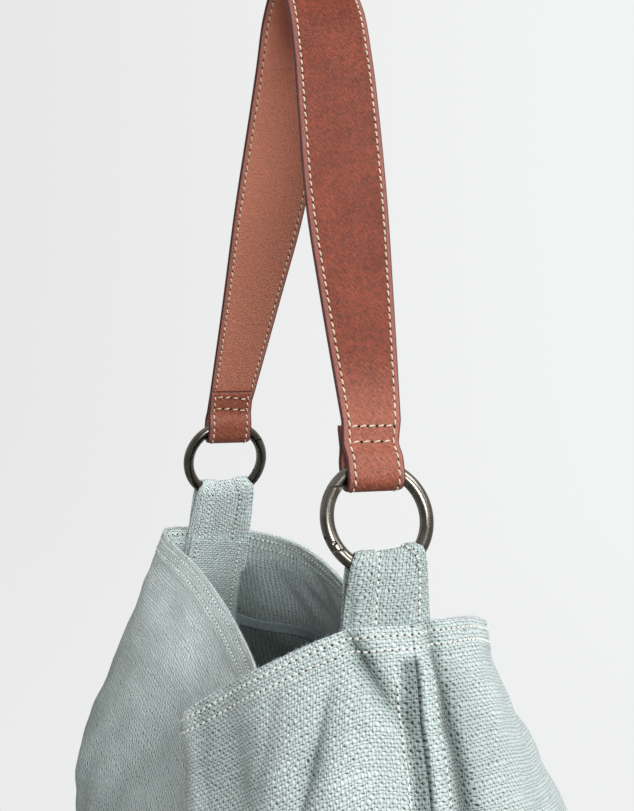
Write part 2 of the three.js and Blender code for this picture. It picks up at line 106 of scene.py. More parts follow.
# Folds: turn, lean of that turn for each millimetre of drop, spread, sharpness (2 is round),
# the drops that each spans, its depth and its painted shade: how much darker it is painted in its hollow, or
# lighter where the shade is below nothing
FOLDS = (
    (0.104, 0.0001, 0.0125, 2.0, -12, 135, 7.6, 0.12),
    (0.960, 0.0, 0.0220, 2.0, -20, 112, 4.0, 0.18),
    (0.977, 0.00005, 0.0115, 1.8, -48, 165, 6.5, 0.85),
    (0.880, 0.0, 0.0300, 2.0, -8, 74, 5.2, 0.0),
    (0.455, 0.0, 0.0140, 2.0, 8, 90, 5.0, 0.1),
    (0.560, 0.0, 0.0140, 2.0, 8, 90, 5.0, 0.1),
    (0.047, -0.00055, 0.0058, 1.5, -16, 46, 5.0, 0.8),
    (0.0458, 0.00044, 0.0050, 1.3, 8, 104, 5.5, 0.45),
    (0.076, 0.0004, 0.0055, 1.4, 16, 90, 2.6, 0.12),
    (0.119, 0.0001, 0.0080, 1.5, -10, 120, 2.0, 0.26),
    # No depth: a painted highlight along the near lobe's edge
    (0.132, 0.0, 0.0050, 2.0, -60, 160, 0.0, -0.22),
    (0.150, 0.0, 0.0100, 1.6, 70, 190, 1.8, 0.08),
    (0.300, 0.0, 0.0140, 2.0, 60, 200, 2.0, 0.08),
    (0.390, 0.0002, 0.0100, 1.5, 80, 260, 2.4, 0.08),
    (0.345, -0.0001, 0.0100, 1.5, 70, 200, 2.2, 0.08),
    (0.640, 0.0, 0.0120, 1.6, 40, 220, 2.2, 0.08),
    (0.840, 0.0001, 0.0100, 1.6, 60, 240, 2.2, 0.08),
)
FOLD_DEPTH, FOLD_SHADE = 6, 7

# The near seam's line strays a little to the front below the mouth:
# by how much of a turn, and the drops between which it goes and returns
SEAM_STRAY, SEAM_GOES, SEAM_RETURNS = 0.0086, (-6, 50), (150, 330)

# Middle line of the strap over its crown: x, z, sideways lean, half width
STRAP_RUN = (
    (92.5, -160, 4.5, 17), (71, -114, 7, 19.7), (53.5, -68, 9, 19.9), (42.5, -40, 10, 19.5),
    (29, -14, 10.5, 19.2), (8, 1.6, 10.5, 19), (-13, -12, 10.5, 19), (-24, -36, 10, 19.2),
    (-35, -62, 9, 19.5), (-56, -107, 7, 19.5), (-85, -157, 4.5, 16.5),
)
STRAP_FOOT_LEAN, STRAP_FOOT_HALF = 1.5, 13.2

# The two ends: sign, seam, spread of the tab's foot, its fan round the ring in degrees, its stitch rows
ENDS = {
    "near": {"end": 1, "seam": 1.0, "foot": (-19, 22), "fan": (-38, 50), "rows": (0.32, 0.86)},
    "far": {"end": -1, "seam": FAR_SEAM, "foot": (-19, 19), "fan": (-48, 42), "rows": (0.26, 0.76)},
}

# Sizes of the sewing and the cloth's face
HEM = {"depth": 12.5, "rows": (3.4, 9.3), "swell": 0.45, "slope": 1.5, "groove": 0.4, "groove_half": 0.9}
SEAM = {
    "row": 8.6, "groove": 3.4, "groove_half": 0.7, "from": 11.0, "fade": 5.0, "foot": 30.0,
    "ridge": 2.6, "flat": 5.2,
}
FACE_OUT, FACE_IN, FACING_STEP, LIP_ROUND = 0.8, 0.8, 0.5, 1.0
LIP_FRAY = (-0.12, 0.2)
RUMPLE = {
    "waves": 26, "lengths": (9, 46), "steepness": 0.0036, "below_lip": 20, "beside_seam": 14, "apart": 400,
}
STITCH_CLOTH = {"pitch": 3.3, "length": 2.5, "radius": 0.54, "slant": 6.0, "hole": 0.6}
STITCH_LEATHER = {"pitch": 4.0, "length": 3.2, "radius": 0.44, "slant": 11.0, "hole": 0.75}
STITCH_STRAY, STITCH_TWIST, STITCH_AHEAD = 0.06, 4, 0.5
STITCH_REACH, STITCH_LIFT, STITCH_DIP, STITCH_TIP = 0.9, 0.7, 1.3, 0.6
HOLE_DOME, HOLE_DEPTH = 0.12, 0.2
STRAP_ROW_IN = 2.3
FACING_EDGE = {"swell": 0.35, "band": 5.5, "slope": 1.5, "groove": 0.3, "row": 3.6, "groove_half": 0.8}
TAB_EDGE = {"swell": 0.9, "slope": 3, "round": 1.4, "groove": 0.4, "groove_half": 0.9}

# Painted shade of the cloth: how much darker it is painted than its own colour, or lighter, as painted light,
# where it is below nothing.
# The tabs' pits are how much painted shade darkens the pits of the tabs' weave
# Painted shadow in the near seam's groove and on the band beside it, which the seam's ridge shades
SEAM_SHADE = {"groove": 0.62, "band": 0.52, "slope": 4, "loss": 0.7, "fades": (80, 110)}
# Painted shade on the front panel's far half, which is turned from the lamps, and painted light by its hem
FAR_HALF_PAINTED_SHADE = {"hem": -0.1, "below": 0.2, "grows": (25, 70), "reach": (185, 100), "ends": (180, 120)}
# Painted light at the inner lip, painted shade deep inside and in the far corner
INSIDE_SHADE = {"lip": -0.24, "deep": 0.52, "corner": 0.6, "reach": 140, "grows": (8, 18), "most": 0.75}
MOST_SHADE = 0.7
# Painted shade on the near tab and painted light on the far tab
TAB_SHADE, TAB_PITS = {1: 0.2, -1: -0.18}, 0.08
# Painted light on the facings, painted shade on their rims
FACING_SHADE, FACING_RIM_SHADE = -0.2, 0.3

# Fineness of the meshes
PANEL_COLUMNS, PANEL_CROWDING = 250, 0.4
PANEL_ROWS = ((0.0, 26), (0.25, 112), (3.0, 50))
SLOPE_STEP, CURVE_STEPS = 0.002, 400
MOUTH_REACH, WALL_LEVEL, WALL_STEPS = 0.065, 2, 161
TAPE_COLUMNS, TAPE_ROWS = 220, 9
FACING_COLUMNS, FACING_ROWS = 31, 61
TAB_COLUMNS, TAB_ROWS = 41, 90
LOOP_SIDE_POINTS, LOOP_FOOT_POINTS = 14, 25
RIM_STEPS = 5


# Curves and surfaces

def smooth(share):
    """Smooth step over a share from 0 to 1."""
    share = np.clip(share, 0, 1)
    return share * share * (3 - 2 * share)


def bell(away, half):
    """Smooth hump of height 1, given how far away its middle is and its half width."""
    return np.exp(-(away / half) ** 2)


def step_up(value, start, length):
    """Smooth step from 0 at a start to 1 a length further on."""
    return smooth((value - start) / length)


def hermite(start, end, slope_start, slope_end, share):
    """Cubic from a start to an end, with a slope at each."""
    s2, s3 = share ** 2, share ** 3
    return (start * (2 * s3 - 3 * s2 + 1) + end * (3 * s2 - 2 * s3)
            + slope_start * (s3 - 2 * s2 + share) + slope_end * (s3 - s2))


def unit(vectors):
    """Vectors brought to a length of 1."""
    size = np.linalg.norm(vectors, axis=-1, keepdims=True)
    return vectors / np.maximum(size, 1e-12)


def ring_curve(turn, column):
    """Smooth closed curve through one column of the stations."""
    turns, values, count = STATIONS[:, TURN], STATIONS[:, column], len(STATIONS)
    lap = turn - np.floor(turn)
    first = np.searchsorted(turns, lap, side="right") - 1

    def row(step):
        k = first + step
        return turns[k % count] + k // count, values[k % count]

    (turn_a, a), (turn_b, b), (turn_c, c), (turn_d, d) = (row(step) for step in (-1, 0, 1, 2))
    span = turn_c - turn_b
    slope_b = (c - a) / (turn_c - turn_a) * span
    slope_c = (d - b) / (turn_d - turn_b) * span
    return hermite(b, c, slope_b, slope_c, (lap - turn_b) / span)


def level_points(turn):
    """Points of every level at each turn: mouth, shoulder, hip, then the plain sections."""
    dip = ring_curve(turn, DIP)
    drops = (dip, SHOULDER_DROP + SHOULDER_FOLLOW * dip, HIP_DROP + HIP_FOLLOW * dip)
    levels = [
        np.stack([ring_curve(turn, x), ring_curve(turn, y), -MOUTH_DROP - drop], -1)
        for drop, (x, y) in zip(drops, LEVEL_COLUMNS)
    ]
    angle = 2 * math.pi * turn
    swell_x = np.sign(np.cos(angle)) * np.abs(np.cos(angle)) ** SECTION_POWER
    swell_y = np.sign(np.sin(angle)) * np.abs(np.sin(angle)) ** SECTION_POWER
    for drop, half_length, half_depth in SECTIONS:
        height = np.full_like(turn, -MOUTH_DROP - drop)
        levels.append(np.stack([half_length * swell_x, -half_depth * swell_y, height], -1))
    return np.stack(levels)


def smooth_body(turn, level):
    """Middle surface of the cloth before it is folded, at arrays of turns and levels of one shape."""
    shape = turn.shape
    turn, level = turn.ravel(), level.ravel()
    levels = level_points(turn)
    i = np.minimum(level.astype(int), LAST_LEVEL - 1)
    pick = np.arange(len(turn))
    b, c = levels[i, pick], levels[i + 1, pick]
    a, d = levels[np.maximum(i - 1, 0), pick], levels[np.minimum(i + 2, LAST_LEVEL), pick]
    slope_b = (c - a) * np.where(i > 0, 0.5, 1)[:, None]
    slope_c = (d - b) * np.where(i + 2 <= LAST_LEVEL, 0.5, 1)[:, None]
    return hermite(b, c, slope_b, slope_c, (level - i)[:, None]).reshape(shape + (3,))


def folded(turn, drop, column):
    """The depth or the painted shade of all the folds at a place."""
    lap = turn - np.floor(turn)
    total = np.zeros(turn.shape)
    for fold in FOLDS:
        fold_turn, lean, spread, sharpness, top, bottom = fold[:FOLD_DEPTH]
        away = np.abs(lap - fold_turn - lean * (drop - top))
        side = np.abs(np.minimum(away, 1 - away)) / spread
        along = np.clip((drop - top) / (bottom - top), 0, 1)
        total += fold[column] * np.exp(-side ** sharpness) * np.sin(math.pi * along) ** 2
    return total


def body(turn, level):
    """Middle surface of the cloth with its folds."""
    point = smooth_body(turn, level)
    ahead = smooth_body(turn + SLOPE_STEP, level) - smooth_body(turn - SLOPE_STEP, level)
    outward = unit(np.stack([-ahead[..., 1], ahead[..., 0], np.zeros(turn.shape)], -1))
    depth = folded(turn, -MOUTH_DROP - point[..., 2], FOLD_DEPTH)
    return point - outward * depth[..., None]


def inside_wall(turn, lengths, depth):
    """Points at each length below the mouth and each depth in from the cloth's middle: rows by turns."""
    levels = np.linspace(0, WALL_LEVEL, WALL_STEPS)
    turns = np.broadcast_to(turn, (len(levels), len(turn)))
    points = body(turns, np.broadcast_to(levels[:, None], turns.shape))
    normals = grid_normals(points) * np.sign(turn[-1] - turn[0])
    gone = run(points, 0)
    depth = np.broadcast_to(np.reshape(depth, (-1, 1)), (len(lengths), len(turn)))
    found = np.empty((len(lengths), len(turn), 3))
    for c in range(len(turn)):
        place, normal = (at_lengths(grid[:, c], gone[:, c], lengths) for grid in (points, normals))
        found[:, c] = place - depth[:, c, None] * normal
    return found


def turn_at_mouth(seam, y):
    """Turn near a seam where the mouth's edge has a given y."""
    turns = np.linspace(seam - MOUTH_REACH, seam + MOUTH_REACH, CURVE_STEPS)
    edge = ring_curve(turns, LEVEL_COLUMNS[0][1])
    if edge[0] > edge[-1]:
        turns, edge = turns[::-1], edge[::-1]
    return np.interp(y, edge, turns)


def ring_point(end, u, v, n):
    """Point of a ring's leaning plane: u across it, v up it, n out of it."""
    x = RING_REACH + n * math.cos(RING_TILT) - v * math.sin(RING_TILT)
    z = -RING_DROP + n * math.sin(RING_TILT) + v * math.cos(RING_TILT)
    return np.stack(np.broadcast_arrays(end * x, end * u, z), -1)


def curve_through(rows, share):
    """Centripetal curve through rows of points, whose first three columns are a place."""
    rows = np.asarray(rows, float)
    rows = np.concatenate([[2 * rows[0] - rows[1]], rows, [2 * rows[-1] - rows[-2]]])
    gaps = np.linalg.norm(np.diff(rows[:, :3], axis=0), axis=1) ** 0.5
    position = share * (len(rows) - 3)
    i = np.minimum(position.astype(int), len(rows) - 4)
    p0, p1, p2, p3 = (rows[i + k] for k in range(4))
    g0, g1, g2 = (gaps[i + k][:, None] for k in range(3))
    slope_1 = ((p1 - p0) / g0 - (p2 - p0) / (g0 + g1) + (p2 - p1) / g1) * g1
    slope_2 = ((p2 - p1) / g1 - (p3 - p1) / (g1 + g2) + (p3 - p2) / g2) * g1
    return hermite(p1, p2, slope_1, slope_2, (position - i)[:, None])


def run(points, axis):
    """Lengths gone along one axis of a grid of points."""
    steps = np.linalg.norm(np.diff(points, axis=axis), axis=-1)
    start = np.zeros_like(np.take(steps, [0], axis))
    return np.concatenate([start, np.cumsum(steps, axis)], axis)


def at_lengths(line, gone, lengths):
    """Rows of a line where its lengths gone have given values."""
    return np.stack([np.interp(lengths, gone, column) for column in line.T], -1)


def grid_normals(points):
    """Normals of a grid, facing the viewer whose columns run right and whose rows run up."""
    return unit(np.cross(np.gradient(points, axis=1), np.gradient(points, axis=0)))


def resampled(points, count):
    """The same line, with its points evenly spaced."""
    gone = run(points, 0)
    return at_lengths(points, gone, np.linspace(0, gone[-1], count))


# Meshes

def placed(points):
    """Points of the bag's middle frame, in the part's frame and in metres."""
    return (np.reshape(points, (-1, 3)) - CROWN_LEAN) * MM


def add_object(name, data):
    """Object of a mesh, a camera or a light, put into the scene."""
    made = bpy.data.objects.new(name, data)
    bpy.context.scene.collection.objects.link(made)
    return made


def make_piece(name, points, faces, material, uv=None, values=None):
    """Piece made from arrays, riding on the bag. values are named numbers at its points."""
    mesh = bpy.data.meshes.new(name)
    mesh.from_pydata(placed(points).tolist(), [], [list(face) for face in faces])
    mesh.update()
    if uv is not None:
        corners = np.empty(len(mesh.loops), np.int32)
        mesh.loops.foreach_get("vertex_index", corners)
        layer = mesh.uv_layers.new(name="lengths")
        layer.data.foreach_set("uv", np.asarray(uv, np.float32)[corners].ravel())
    for key, numbers in (values or {}).items():
        attribute = mesh.attributes.new(key, "FLOAT", "POINT")
        attribute.data.foreach_set("value", np.asarray(numbers, np.float32).ravel())
    return dress(name, mesh, material, "bag")


def dress(name, mesh, material, rides, crease=None):
    """Object of a finished mesh, with its material, slot and body."""
    mesh.shade_smooth()
    if crease is not None:
        mesh.set_sharp_from_angle(angle=crease)
    for each in material if isinstance(material, tuple) else (material,):
        mesh.materials.append(each)
    piece = add_object(name, mesh)
    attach(piece, rides)
    return piece


class Sheet:
    """A closed sheet round a grid of points, whose rows run along it and whose columns run across it.

    Face 1 is the side that the grid's normals point to, and face -1 is the other side.
    """

    def __init__(self, middle, out, into, rims):
        self.normals = grid_normals(middle)
        out, into = (np.broadcast_to(depth, middle.shape[:2])[..., None] for depth in (out, into))
        self.faces = {1: middle + self.normals * out, -1: middle - self.normals * into}
        self.rims = rims
        self.down = run(middle, 0)
        self.across = run(middle, 1)

    def flat(self):
        """Width and length of the sheet laid flat, in metres."""
        return self.across[:, -1].mean() * MM, self.down[-1].mean() * MM

    def line(self, face, field, value, axis):
        """Line over one face where a field of lengths that rises along an axis has a value."""
        field = np.moveaxis(field, axis, 0)
        k = np.clip((field < value).sum(0) - 1, 0, len(field) - 2)
        pick = np.arange(field.shape[1])
        share = ((value - field[k, pick]) / (field[k + 1, pick] - field[k, pick]))[:, None]

        def at(grid):
            grid = np.moveaxis(grid, axis, 0)
            return grid[k, pick] * (1 - share) + grid[k + 1, pick] * share

        return at(self.faces[face]), unit(at(self.normals)) * face

    def solid(self, uv=None):
        """Points, faces and lengths of the closed sheet, its border rounded out by the rims."""
        rows, columns = self.down.shape
        uv = np.stack([self.across, self.down], -1) if uv is None else uv
        index = np.arange(rows * columns).reshape(rows, columns)
        face = np.stack([index[:-1, :-1], index[:-1, 1:], index[1:, 1:], index[1:, :-1]], -1).reshape(-1, 4)
        under = face[:, ::-1] + index.size
        border = np.concatenate([index[0, :-1], index[:-1, -1], index[-1, :0:-1], index[:0:-1, 0]])
        outward, shift, reach = self.border_ways(border, rows, columns)
        top = self.faces[1].reshape(-1, 3)[border]
        low = self.faces[-1].reshape(-1, 3)[border]
        points = [self.faces[1].reshape(-1, 3), self.faces[-1].reshape(-1, 3)]
        lengths = [uv.reshape(-1, 2), uv.reshape(-1, 2)]
        rings = [border]
        for step in range(1, RIM_STEPS):
            angle = math.pi * step / RIM_STEPS
            ring = (top + low) / 2 + (top - low) / 2 * math.cos(angle) + outward * reach * math.sin(angle)
            rings.append(np.arange(len(border)) + sum(map(len, points)))
            points.append(ring)
            lengths.append(lengths[0][border] + shift * reach * angle)
        rings.append(border + index.size)
        rim = [
            np.stack([np.roll(a, -1), a, b, np.roll(b, -1)], -1)
            for a, b in zip(rings[:-1], rings[1:])
        ]
        return np.concatenate(points), np.concatenate([face, under, *rim]), np.concatenate(lengths)

    def border_ways(self, border, rows, columns):
        """Way out of the sheet at its border, in space and in lengths, and how far it rounds there."""
        r, c = border // columns, border % columns
        middle = (self.faces[1] + self.faces[-1]) / 2
        top, right, bottom, left = self.rims
        outward, shift = np.zeros((len(border), 3)), np.zeros((len(border), 2))
        reach = np.zeros(len(border))
        sides = (
            (r == 0, middle[0] - middle[1], c, (0, -1), top),
            (r == rows - 1, middle[-1] - middle[-2], c, (0, 1), bottom),
            (c == 0, middle[:, 0] - middle[:, 1], r, (-1, 0), left),
            (c == columns - 1, middle[:, -1] - middle[:, -2], r, (1, 0), right),
        )
        for here, ways, place, way, rim in sides:
            outward[here] += unit(ways)[place[here]]
            shift[here] += way
            reach[here] = np.maximum(reach[here], rim)
        return unit(outward), shift, reach[:, None]


# Materials

def linear(red, green, blue):
    """Colour given as screen values from 0 to 255."""
    share = np.array([red, green, blue]) / 255
    value = np.where(share <= 0.04045, share / 12.92, ((share + 0.055) / 1.055) ** 2.4)
    return (*value.tolist(), 1.0)


# Sockets of a mix of colours: its share and its two colours, and its result
MIX_INPUTS, MIX_RESULT = (0, 6, 7), 2
# Scale, detail and roughness of uneven noise
UNEVEN = (1.0, 3.0, 0.6)


class Value:
    """A number that varies over a surface. Each step of reckoning with it is a node of its finish."""

    def __init__(self, finish, socket):
        self.finish, self.socket = finish, socket

    def step(self, operation, *others):
        return self.finish.reckon(operation, self, *others)

    def __add__(self, other):
        return self.step("ADD", other)

    def __sub__(self, other):
        return self.step("SUBTRACT", other)

    def __rsub__(self, other):
        return self.finish.reckon("SUBTRACT", other, self)

    def __mul__(self, other):
        return self.step("MULTIPLY", other)

    def __truediv__(self, other):
        return self.step("DIVIDE", other)

    def __pow__(self, other):
        return self.step("POWER", other)

    def spread(self, low, high):
        """The value, which runs from 0 to 1, mapped to run from low to high."""
        return self.finish.value("MapRange", Value=self, To_Min=low, To_Max=high)


class Finish:
    """A material, with short calls for the nodes that the finishes share."""

    def __init__(self, name, **sockets):
        self.material = bpy.data.materials.new(name)
        self.material.use_nodes = True
        self.tree = self.material.node_tree
        self.shader = self.tree.nodes["Principled BSDF"]
        self.shine(**sockets)

    def feed(self, socket, value):
        if isinstance(value, Value):
            self.tree.links.new(value.socket, socket)
        else:
            socket.default_value = value

    def shine(self, **sockets):
        """Values of the shader itself, by the names of its sockets."""
        for socket, value in sockets.items():
            self.feed(self.shader.inputs[socket.replace("_", " ")], value)

    def node(self, kind, **inputs):
        made = self.tree.nodes.new("ShaderNode" + kind)
        for socket, value in inputs.items():
            self.feed(made.inputs[socket.replace("_", " ")], value)
        return made

    def value(self, kind, output=0, **inputs):
        return Value(self, self.node(kind, **inputs).outputs[output])

    def reckon(self, operation, *values, kind="Math", output=0):
        made = self.node(kind)
        made.operation = operation
        for socket, value in zip(made.inputs, values):
            self.feed(socket, value)
        return Value(self, made.outputs[output])

    def noise(self, vector, scale, detail=2.0, roughness=0.5):
        return self.value("TexNoise", Vector=vector, Scale=scale, Detail=detail, Roughness=roughness)

    def streaks(self, ways, scales):
        """Uneven noise over two ways, with a scale for each."""
        x, y = (way * scale for way, scale in zip(ways, scales))
        return self.noise(self.value("CombineXYZ", X=x, Y=y), *UNEVEN)

    def ramp(self, value, stops):
        made = self.node("ValToRGB", Fac=value)
        elements = made.color_ramp.elements
        while len(elements) < len(stops):
            elements.new(0.5)
        for element, (position, colour) in zip(elements, stops):
            element.position = position
            element.color = colour
        return Value(self, made.outputs[0])

    def mix(self, share, first, second, mode="MIX"):
        made = self.node("Mix")
        made.data_type = "RGBA"
        made.blend_type = mode
        for socket, value in zip(MIX_INPUTS, (share, first, second)):
            self.feed(made.inputs[socket], value)
        return Value(self, made.outputs[MIX_RESULT])

    def shade(self, colour, value):
        """A colour darkened or lightened by a number."""
        grey = self.value("CombineColor", Red=value, Green=value, Blue=value)
        return self.mix(1.0, colour, grey, "MULTIPLY")

    def lengths(self):
        """The surface's own lengths in millimetres: both, across, along."""
        uv = self.value("UVMap")
        across, along = self.node("SeparateXYZ", Vector=uv).outputs[:2]
        return uv, Value(self, across), Value(self, along)

    def place(self):
        """The place in the piece's own frame, in metres."""
        return self.value("TexCoord", "Object")

    def attribute(self, name):
        made = self.node("Attribute")
        made.attribute_name = name
        return Value(self, made.outputs["Fac"])

    def bump(self, height, depth):
        self.shine(Normal=self.value("Bump", Height=height, Distance=depth * MM, Strength=1.0))

    def colour(self, value):
        self.shine(Base_Color=value)


# Woven jute: the yarns' pitches and wander, their slubs and make, the pits between them and their tones, with
# painted shade in the pits and the yarns' low places
WEAVE = {
    "warp_pitch": 1.38, "weft_pitch": 1.6, "jitter": 0.9, "jitter_scale": 0.42,
    "streak": 1.8, "streak_scales": (0.03, 0.2), "slub_scale": 0.16, "warp_step": 7.31, "weft_step": 5.73,
    "slub": (0.44, 0.56), "roundness": 0.4, "rise": 0.45, "warp_lowered": 0.3,
    "fibre": 0.24, "fibre_noise": (1.9, 3.0, 0.65), "pit_power": 1.5, "pit_scale": 0.55,
    "pit_share": (0.1, 1.9), "pit_painted_shade": 0.8, "pit_least": 0.3, "pit_depth": 0.6, "pit_dark": 0.8,
    "warp_tone": (0.84, 1.02), "weft_tone": (0.94, 1.1), "patch_noise": (0.05, 3.0),
    "patch_tone": (0.84, 1.14), "height": 0.8,
}
# Yarn colour by height: the low places and gaps are painted darker, as shade
YARN_TONES_AND_GAP_SHADE = ((0.0, linear(64, 80, 72)), (0.22, linear(185, 200, 196)), (0.62, linear(219, 231, 229)))
# Tint of painted shade: the more shade, the greener
SHADE_TINT_TONES = ((0.0, linear(255, 255, 255)), (1.0, linear(240, 255, 249)))


def cloth_finish(name, crosswise=False):
    """Plain-woven jute: slubby yarns that rise over and dive under each other, with pits between, painted
    dark as shade.
    """
    finish = Finish(name, Roughness=0.95, Sheen_Weight=0.26, Sheen_Roughness=0.5, Specular_IOR_Level=0.1)
    uv, across, along = finish.lengths()
    if crosswise:
        across, along = along, across

    def streaks(*ways):
        return finish.streaks(ways, WEAVE["streak_scales"]).spread(-WEAVE["streak"], WEAVE["streak"])

    def yarn(lift, side, slub):
        thick = side.step("ABSOLUTE") ** WEAVE["roundness"] * slub.spread(*WEAVE["slub"])
        return lift.step("MULTIPLY_ADD", WEAVE["rise"], thick)

    jitter = finish.noise(uv, WEAVE["jitter_scale"]).spread(-WEAVE["jitter"], WEAVE["jitter"])
    u = (across + (streaks(along, across) + jitter)) / WEAVE["warp_pitch"]
    v = (along + streaks(across, along) - jitter) / WEAVE["weft_pitch"]
    warp_slub = finish.streaks((u.step("FLOOR"), along), (WEAVE["warp_step"], WEAVE["slub_scale"]))
    weft_slub = finish.streaks((across, v.step("FLOOR")), (WEAVE["slub_scale"], WEAVE["weft_step"]))
    turn_u, turn_v = u * math.pi, v * math.pi
    wave_u, wave_v = turn_u.step("SINE"), turn_v.step("SINE")
    weft = yarn(wave_u * wave_v.step("SIGN"), wave_v, weft_slub)
    warp = yarn(wave_v * wave_u.step("SIGN") * -1.0, wave_u, warp_slub) - WEAVE["warp_lowered"]
    fibre = finish.noise(uv, *WEAVE["fibre_noise"]).spread(-WEAVE["fibre"], WEAVE["fibre"])
    corners = turn_u.step("COSINE") * turn_v.step("COSINE")
    # How dark the pits are painted: the pits attribute carries painted shade, which darkens them more in
    # folds and shade
    amount = finish.attribute("pits").step("MULTIPLY_ADD", WEAVE["pit_painted_shade"], WEAVE["pit_least"])
    pit = corners.step("MAXIMUM", 0.0) ** WEAVE["pit_power"]
    pit = pit * finish.noise(uv, WEAVE["pit_scale"]).spread(*WEAVE["pit_share"]) * amount
    height = weft.step("MAXIMUM", warp) + fibre - pit * WEAVE["pit_depth"]
    tones = (slub.spread(*WEAVE[tone]) for slub, tone in ((warp_slub, "warp_tone"), (weft_slub, "weft_tone")))
    tone = finish.mix(weft.step("GREATER_THAN", warp), *tones)
    # Painted shade: the lower a place of the yarns, the darker its colour
    colour = finish.mix(1.0, finish.ramp(height, YARN_TONES_AND_GAP_SHADE), tone, "MULTIPLY")
    colour = finish.shade(colour, finish.noise(uv, *WEAVE["patch_noise"]).spread(*WEAVE["patch_tone"]))
    # Painted shadow in the pits between the yarns
    colour = finish.shade(colour, 1.0 - pit * WEAVE["pit_dark"])
    # Painted shade from the shade attribute: tinted greener, then darkened
    shade = finish.attribute("shade")
    colour = finish.mix(1.0, colour, finish.ramp(shade, SHADE_TINT_TONES), "MULTIPLY")
    finish.colour(finish.shade(colour, 1.0 - shade))
    finish.bump(height, WEAVE["height"])
    return finish.material


# Scales and depths of the smaller finishes
TAPE_LOOK = {"rib": 9.0, "mottle_noise": (0.3, 3.0), "fuzz_scale": 3.0, "height": 0.06}
METAL_LOOK = {
    "wear_noise": (120.0, 3.0, 0.55), "rough_scale": 500.0, "rough": (0.2, 0.28), "brush_scale": 1400.0,
    "height": 0.0015,
}
THREAD_LOOK = {"tone_scale": 140.0, "twist_scale": 2600.0, "height": 0.1}


def tape_finish():
    """Smooth dark binding tape with a fine rib."""
    finish = Finish("binding_tape", Roughness=0.8, Sheen_Weight=0.1, Specular_IOR_Level=0.2)
    uv, across, along = finish.lengths()
    rib = ((across + along) * TAPE_LOOK["rib"]).step("SINE")
    tones = ((0.3, linear(136, 149, 153)), (0.7, linear(158, 170, 174)))
    finish.colour(finish.ramp(finish.noise(uv, *TAPE_LOOK["mottle_noise"]), tones))
    finish.bump(rib + finish.noise(uv, TAPE_LOOK["fuzz_scale"]), TAPE_LOOK["height"])
    return finish.material


# Leather: scales and strengths of its mottle, slanting strokes and grain cells, the painted sheen beside its
# edges, and its tones
HIDE = {
    "mottle_noise": (0.045, 4.0, 0.6), "slants": (1.1, 0.9), "stroke_scales": (0.75, 0.2),
    "stroke_tone": (-0.15, 2.15), "cell_scale": 1.0, "cell_tone": (1.36, 0.6), "lining_calm": 0.72,
    "margin_sheen": 0.6, "rough": (0.32, 0.6), "stroke_height": 0.9, "height": 0.24,
}
HIDE_TONES = ((0.3, linear(106, 46, 27)), (0.7, linear(130, 60, 38)))
# Lining tone, partly painted light; tone of the painted sheen beside the edges; the edges' dark paint
LINING_TONE_WITH_LIGHT, MARGIN_SHEEN_TONE, EDGE_TONE = linear(208, 134, 110), linear(160, 106, 98), linear(88, 54, 50)


def leather_finish():
    """Tan leather: mottled, grained, rubbed in slanting strokes, with a paler lining that is partly painted
    light, a painted sheen beside the edges and dark edges.
    """
    finish = Finish("tan_leather", Specular_IOR_Level=0.22)
    uv, across, along = finish.lengths()
    mottle = finish.noise(uv, *HIDE["mottle_noise"])
    slant_along, slant_across = HIDE["slants"]
    ways = (along + across * slant_along, across - along * slant_across)
    strokes = finish.streaks(ways, HIDE["stroke_scales"])
    cells = finish.value("TexVoronoi", Vector=uv, Scale=HIDE["cell_scale"])
    lining = finish.attribute("lining")
    # Paler towards the lining tone on the lining face and at the loops; that tone is partly painted light
    colour = finish.mix(lining, finish.ramp(mottle, HIDE_TONES), LINING_TONE_WITH_LIGHT)
    contrast = lining.step("MULTIPLY_ADD", -HIDE["lining_calm"], 1.0)
    grain = strokes.spread(*HIDE["stroke_tone"]) * cells.spread(*HIDE["cell_tone"]) - 1.0
    colour = finish.shade(colour, grain.step("MULTIPLY_ADD", contrast, 1.0))
    # Painted sheen: a pale band between the stitches and the edge
    colour = finish.mix(finish.attribute("margin_sheen") * HIDE["margin_sheen"], colour, MARGIN_SHEEN_TONE)
    finish.colour(finish.mix(finish.attribute("edge"), colour, EDGE_TONE))
    finish.shine(Roughness=strokes.spread(*HIDE["rough"]))
    finish.bump(cells + strokes * HIDE["stroke_height"], HIDE["height"])
    return finish.material


def metal_finish():
    """Dark antique plating with fine brushing, rubbed lighter in faint patches."""
    finish = Finish("antique_metal", Metallic=1.0)
    place = finish.place()
    wear = finish.noise(place, *METAL_LOOK["wear_noise"])
    finish.colour(finish.ramp(wear, ((0.3, linear(106, 101, 93)), (0.75, linear(146, 140, 131)))))
    roughness = finish.noise(place, METAL_LOOK["rough_scale"]).spread(*METAL_LOOK["rough"])
    finish.shine(Roughness=roughness)
    finish.bump(finish.noise(place, METAL_LOOK["brush_scale"]), METAL_LOOK["height"])
    return finish.material


def thread_finish(name, low, high):
    """Sewing thread with the twist of its plies."""
    finish = Finish(name, Roughness=0.7, Sheen_Weight=0.1)
    place = finish.place()
    tone = finish.noise(place, THREAD_LOOK["tone_scale"])
    finish.colour(finish.ramp(tone, ((0.3, low), (0.7, high))))
    finish.bump(finish.noise(place, THREAD_LOOK["twist_scale"]), THREAD_LOOK["height"])
    return finish.material


def plain_finish(name, low, high, scale, roughness):
    """Uneven colour between two tones."""
    finish = Finish(name, Roughness=roughness, Specular_IOR_Level=0.2)
    place = finish.place()
    finish.colour(finish.ramp(finish.noise(place, scale, 3.0), ((0.35, low), (0.65, high))))
    return finish.material


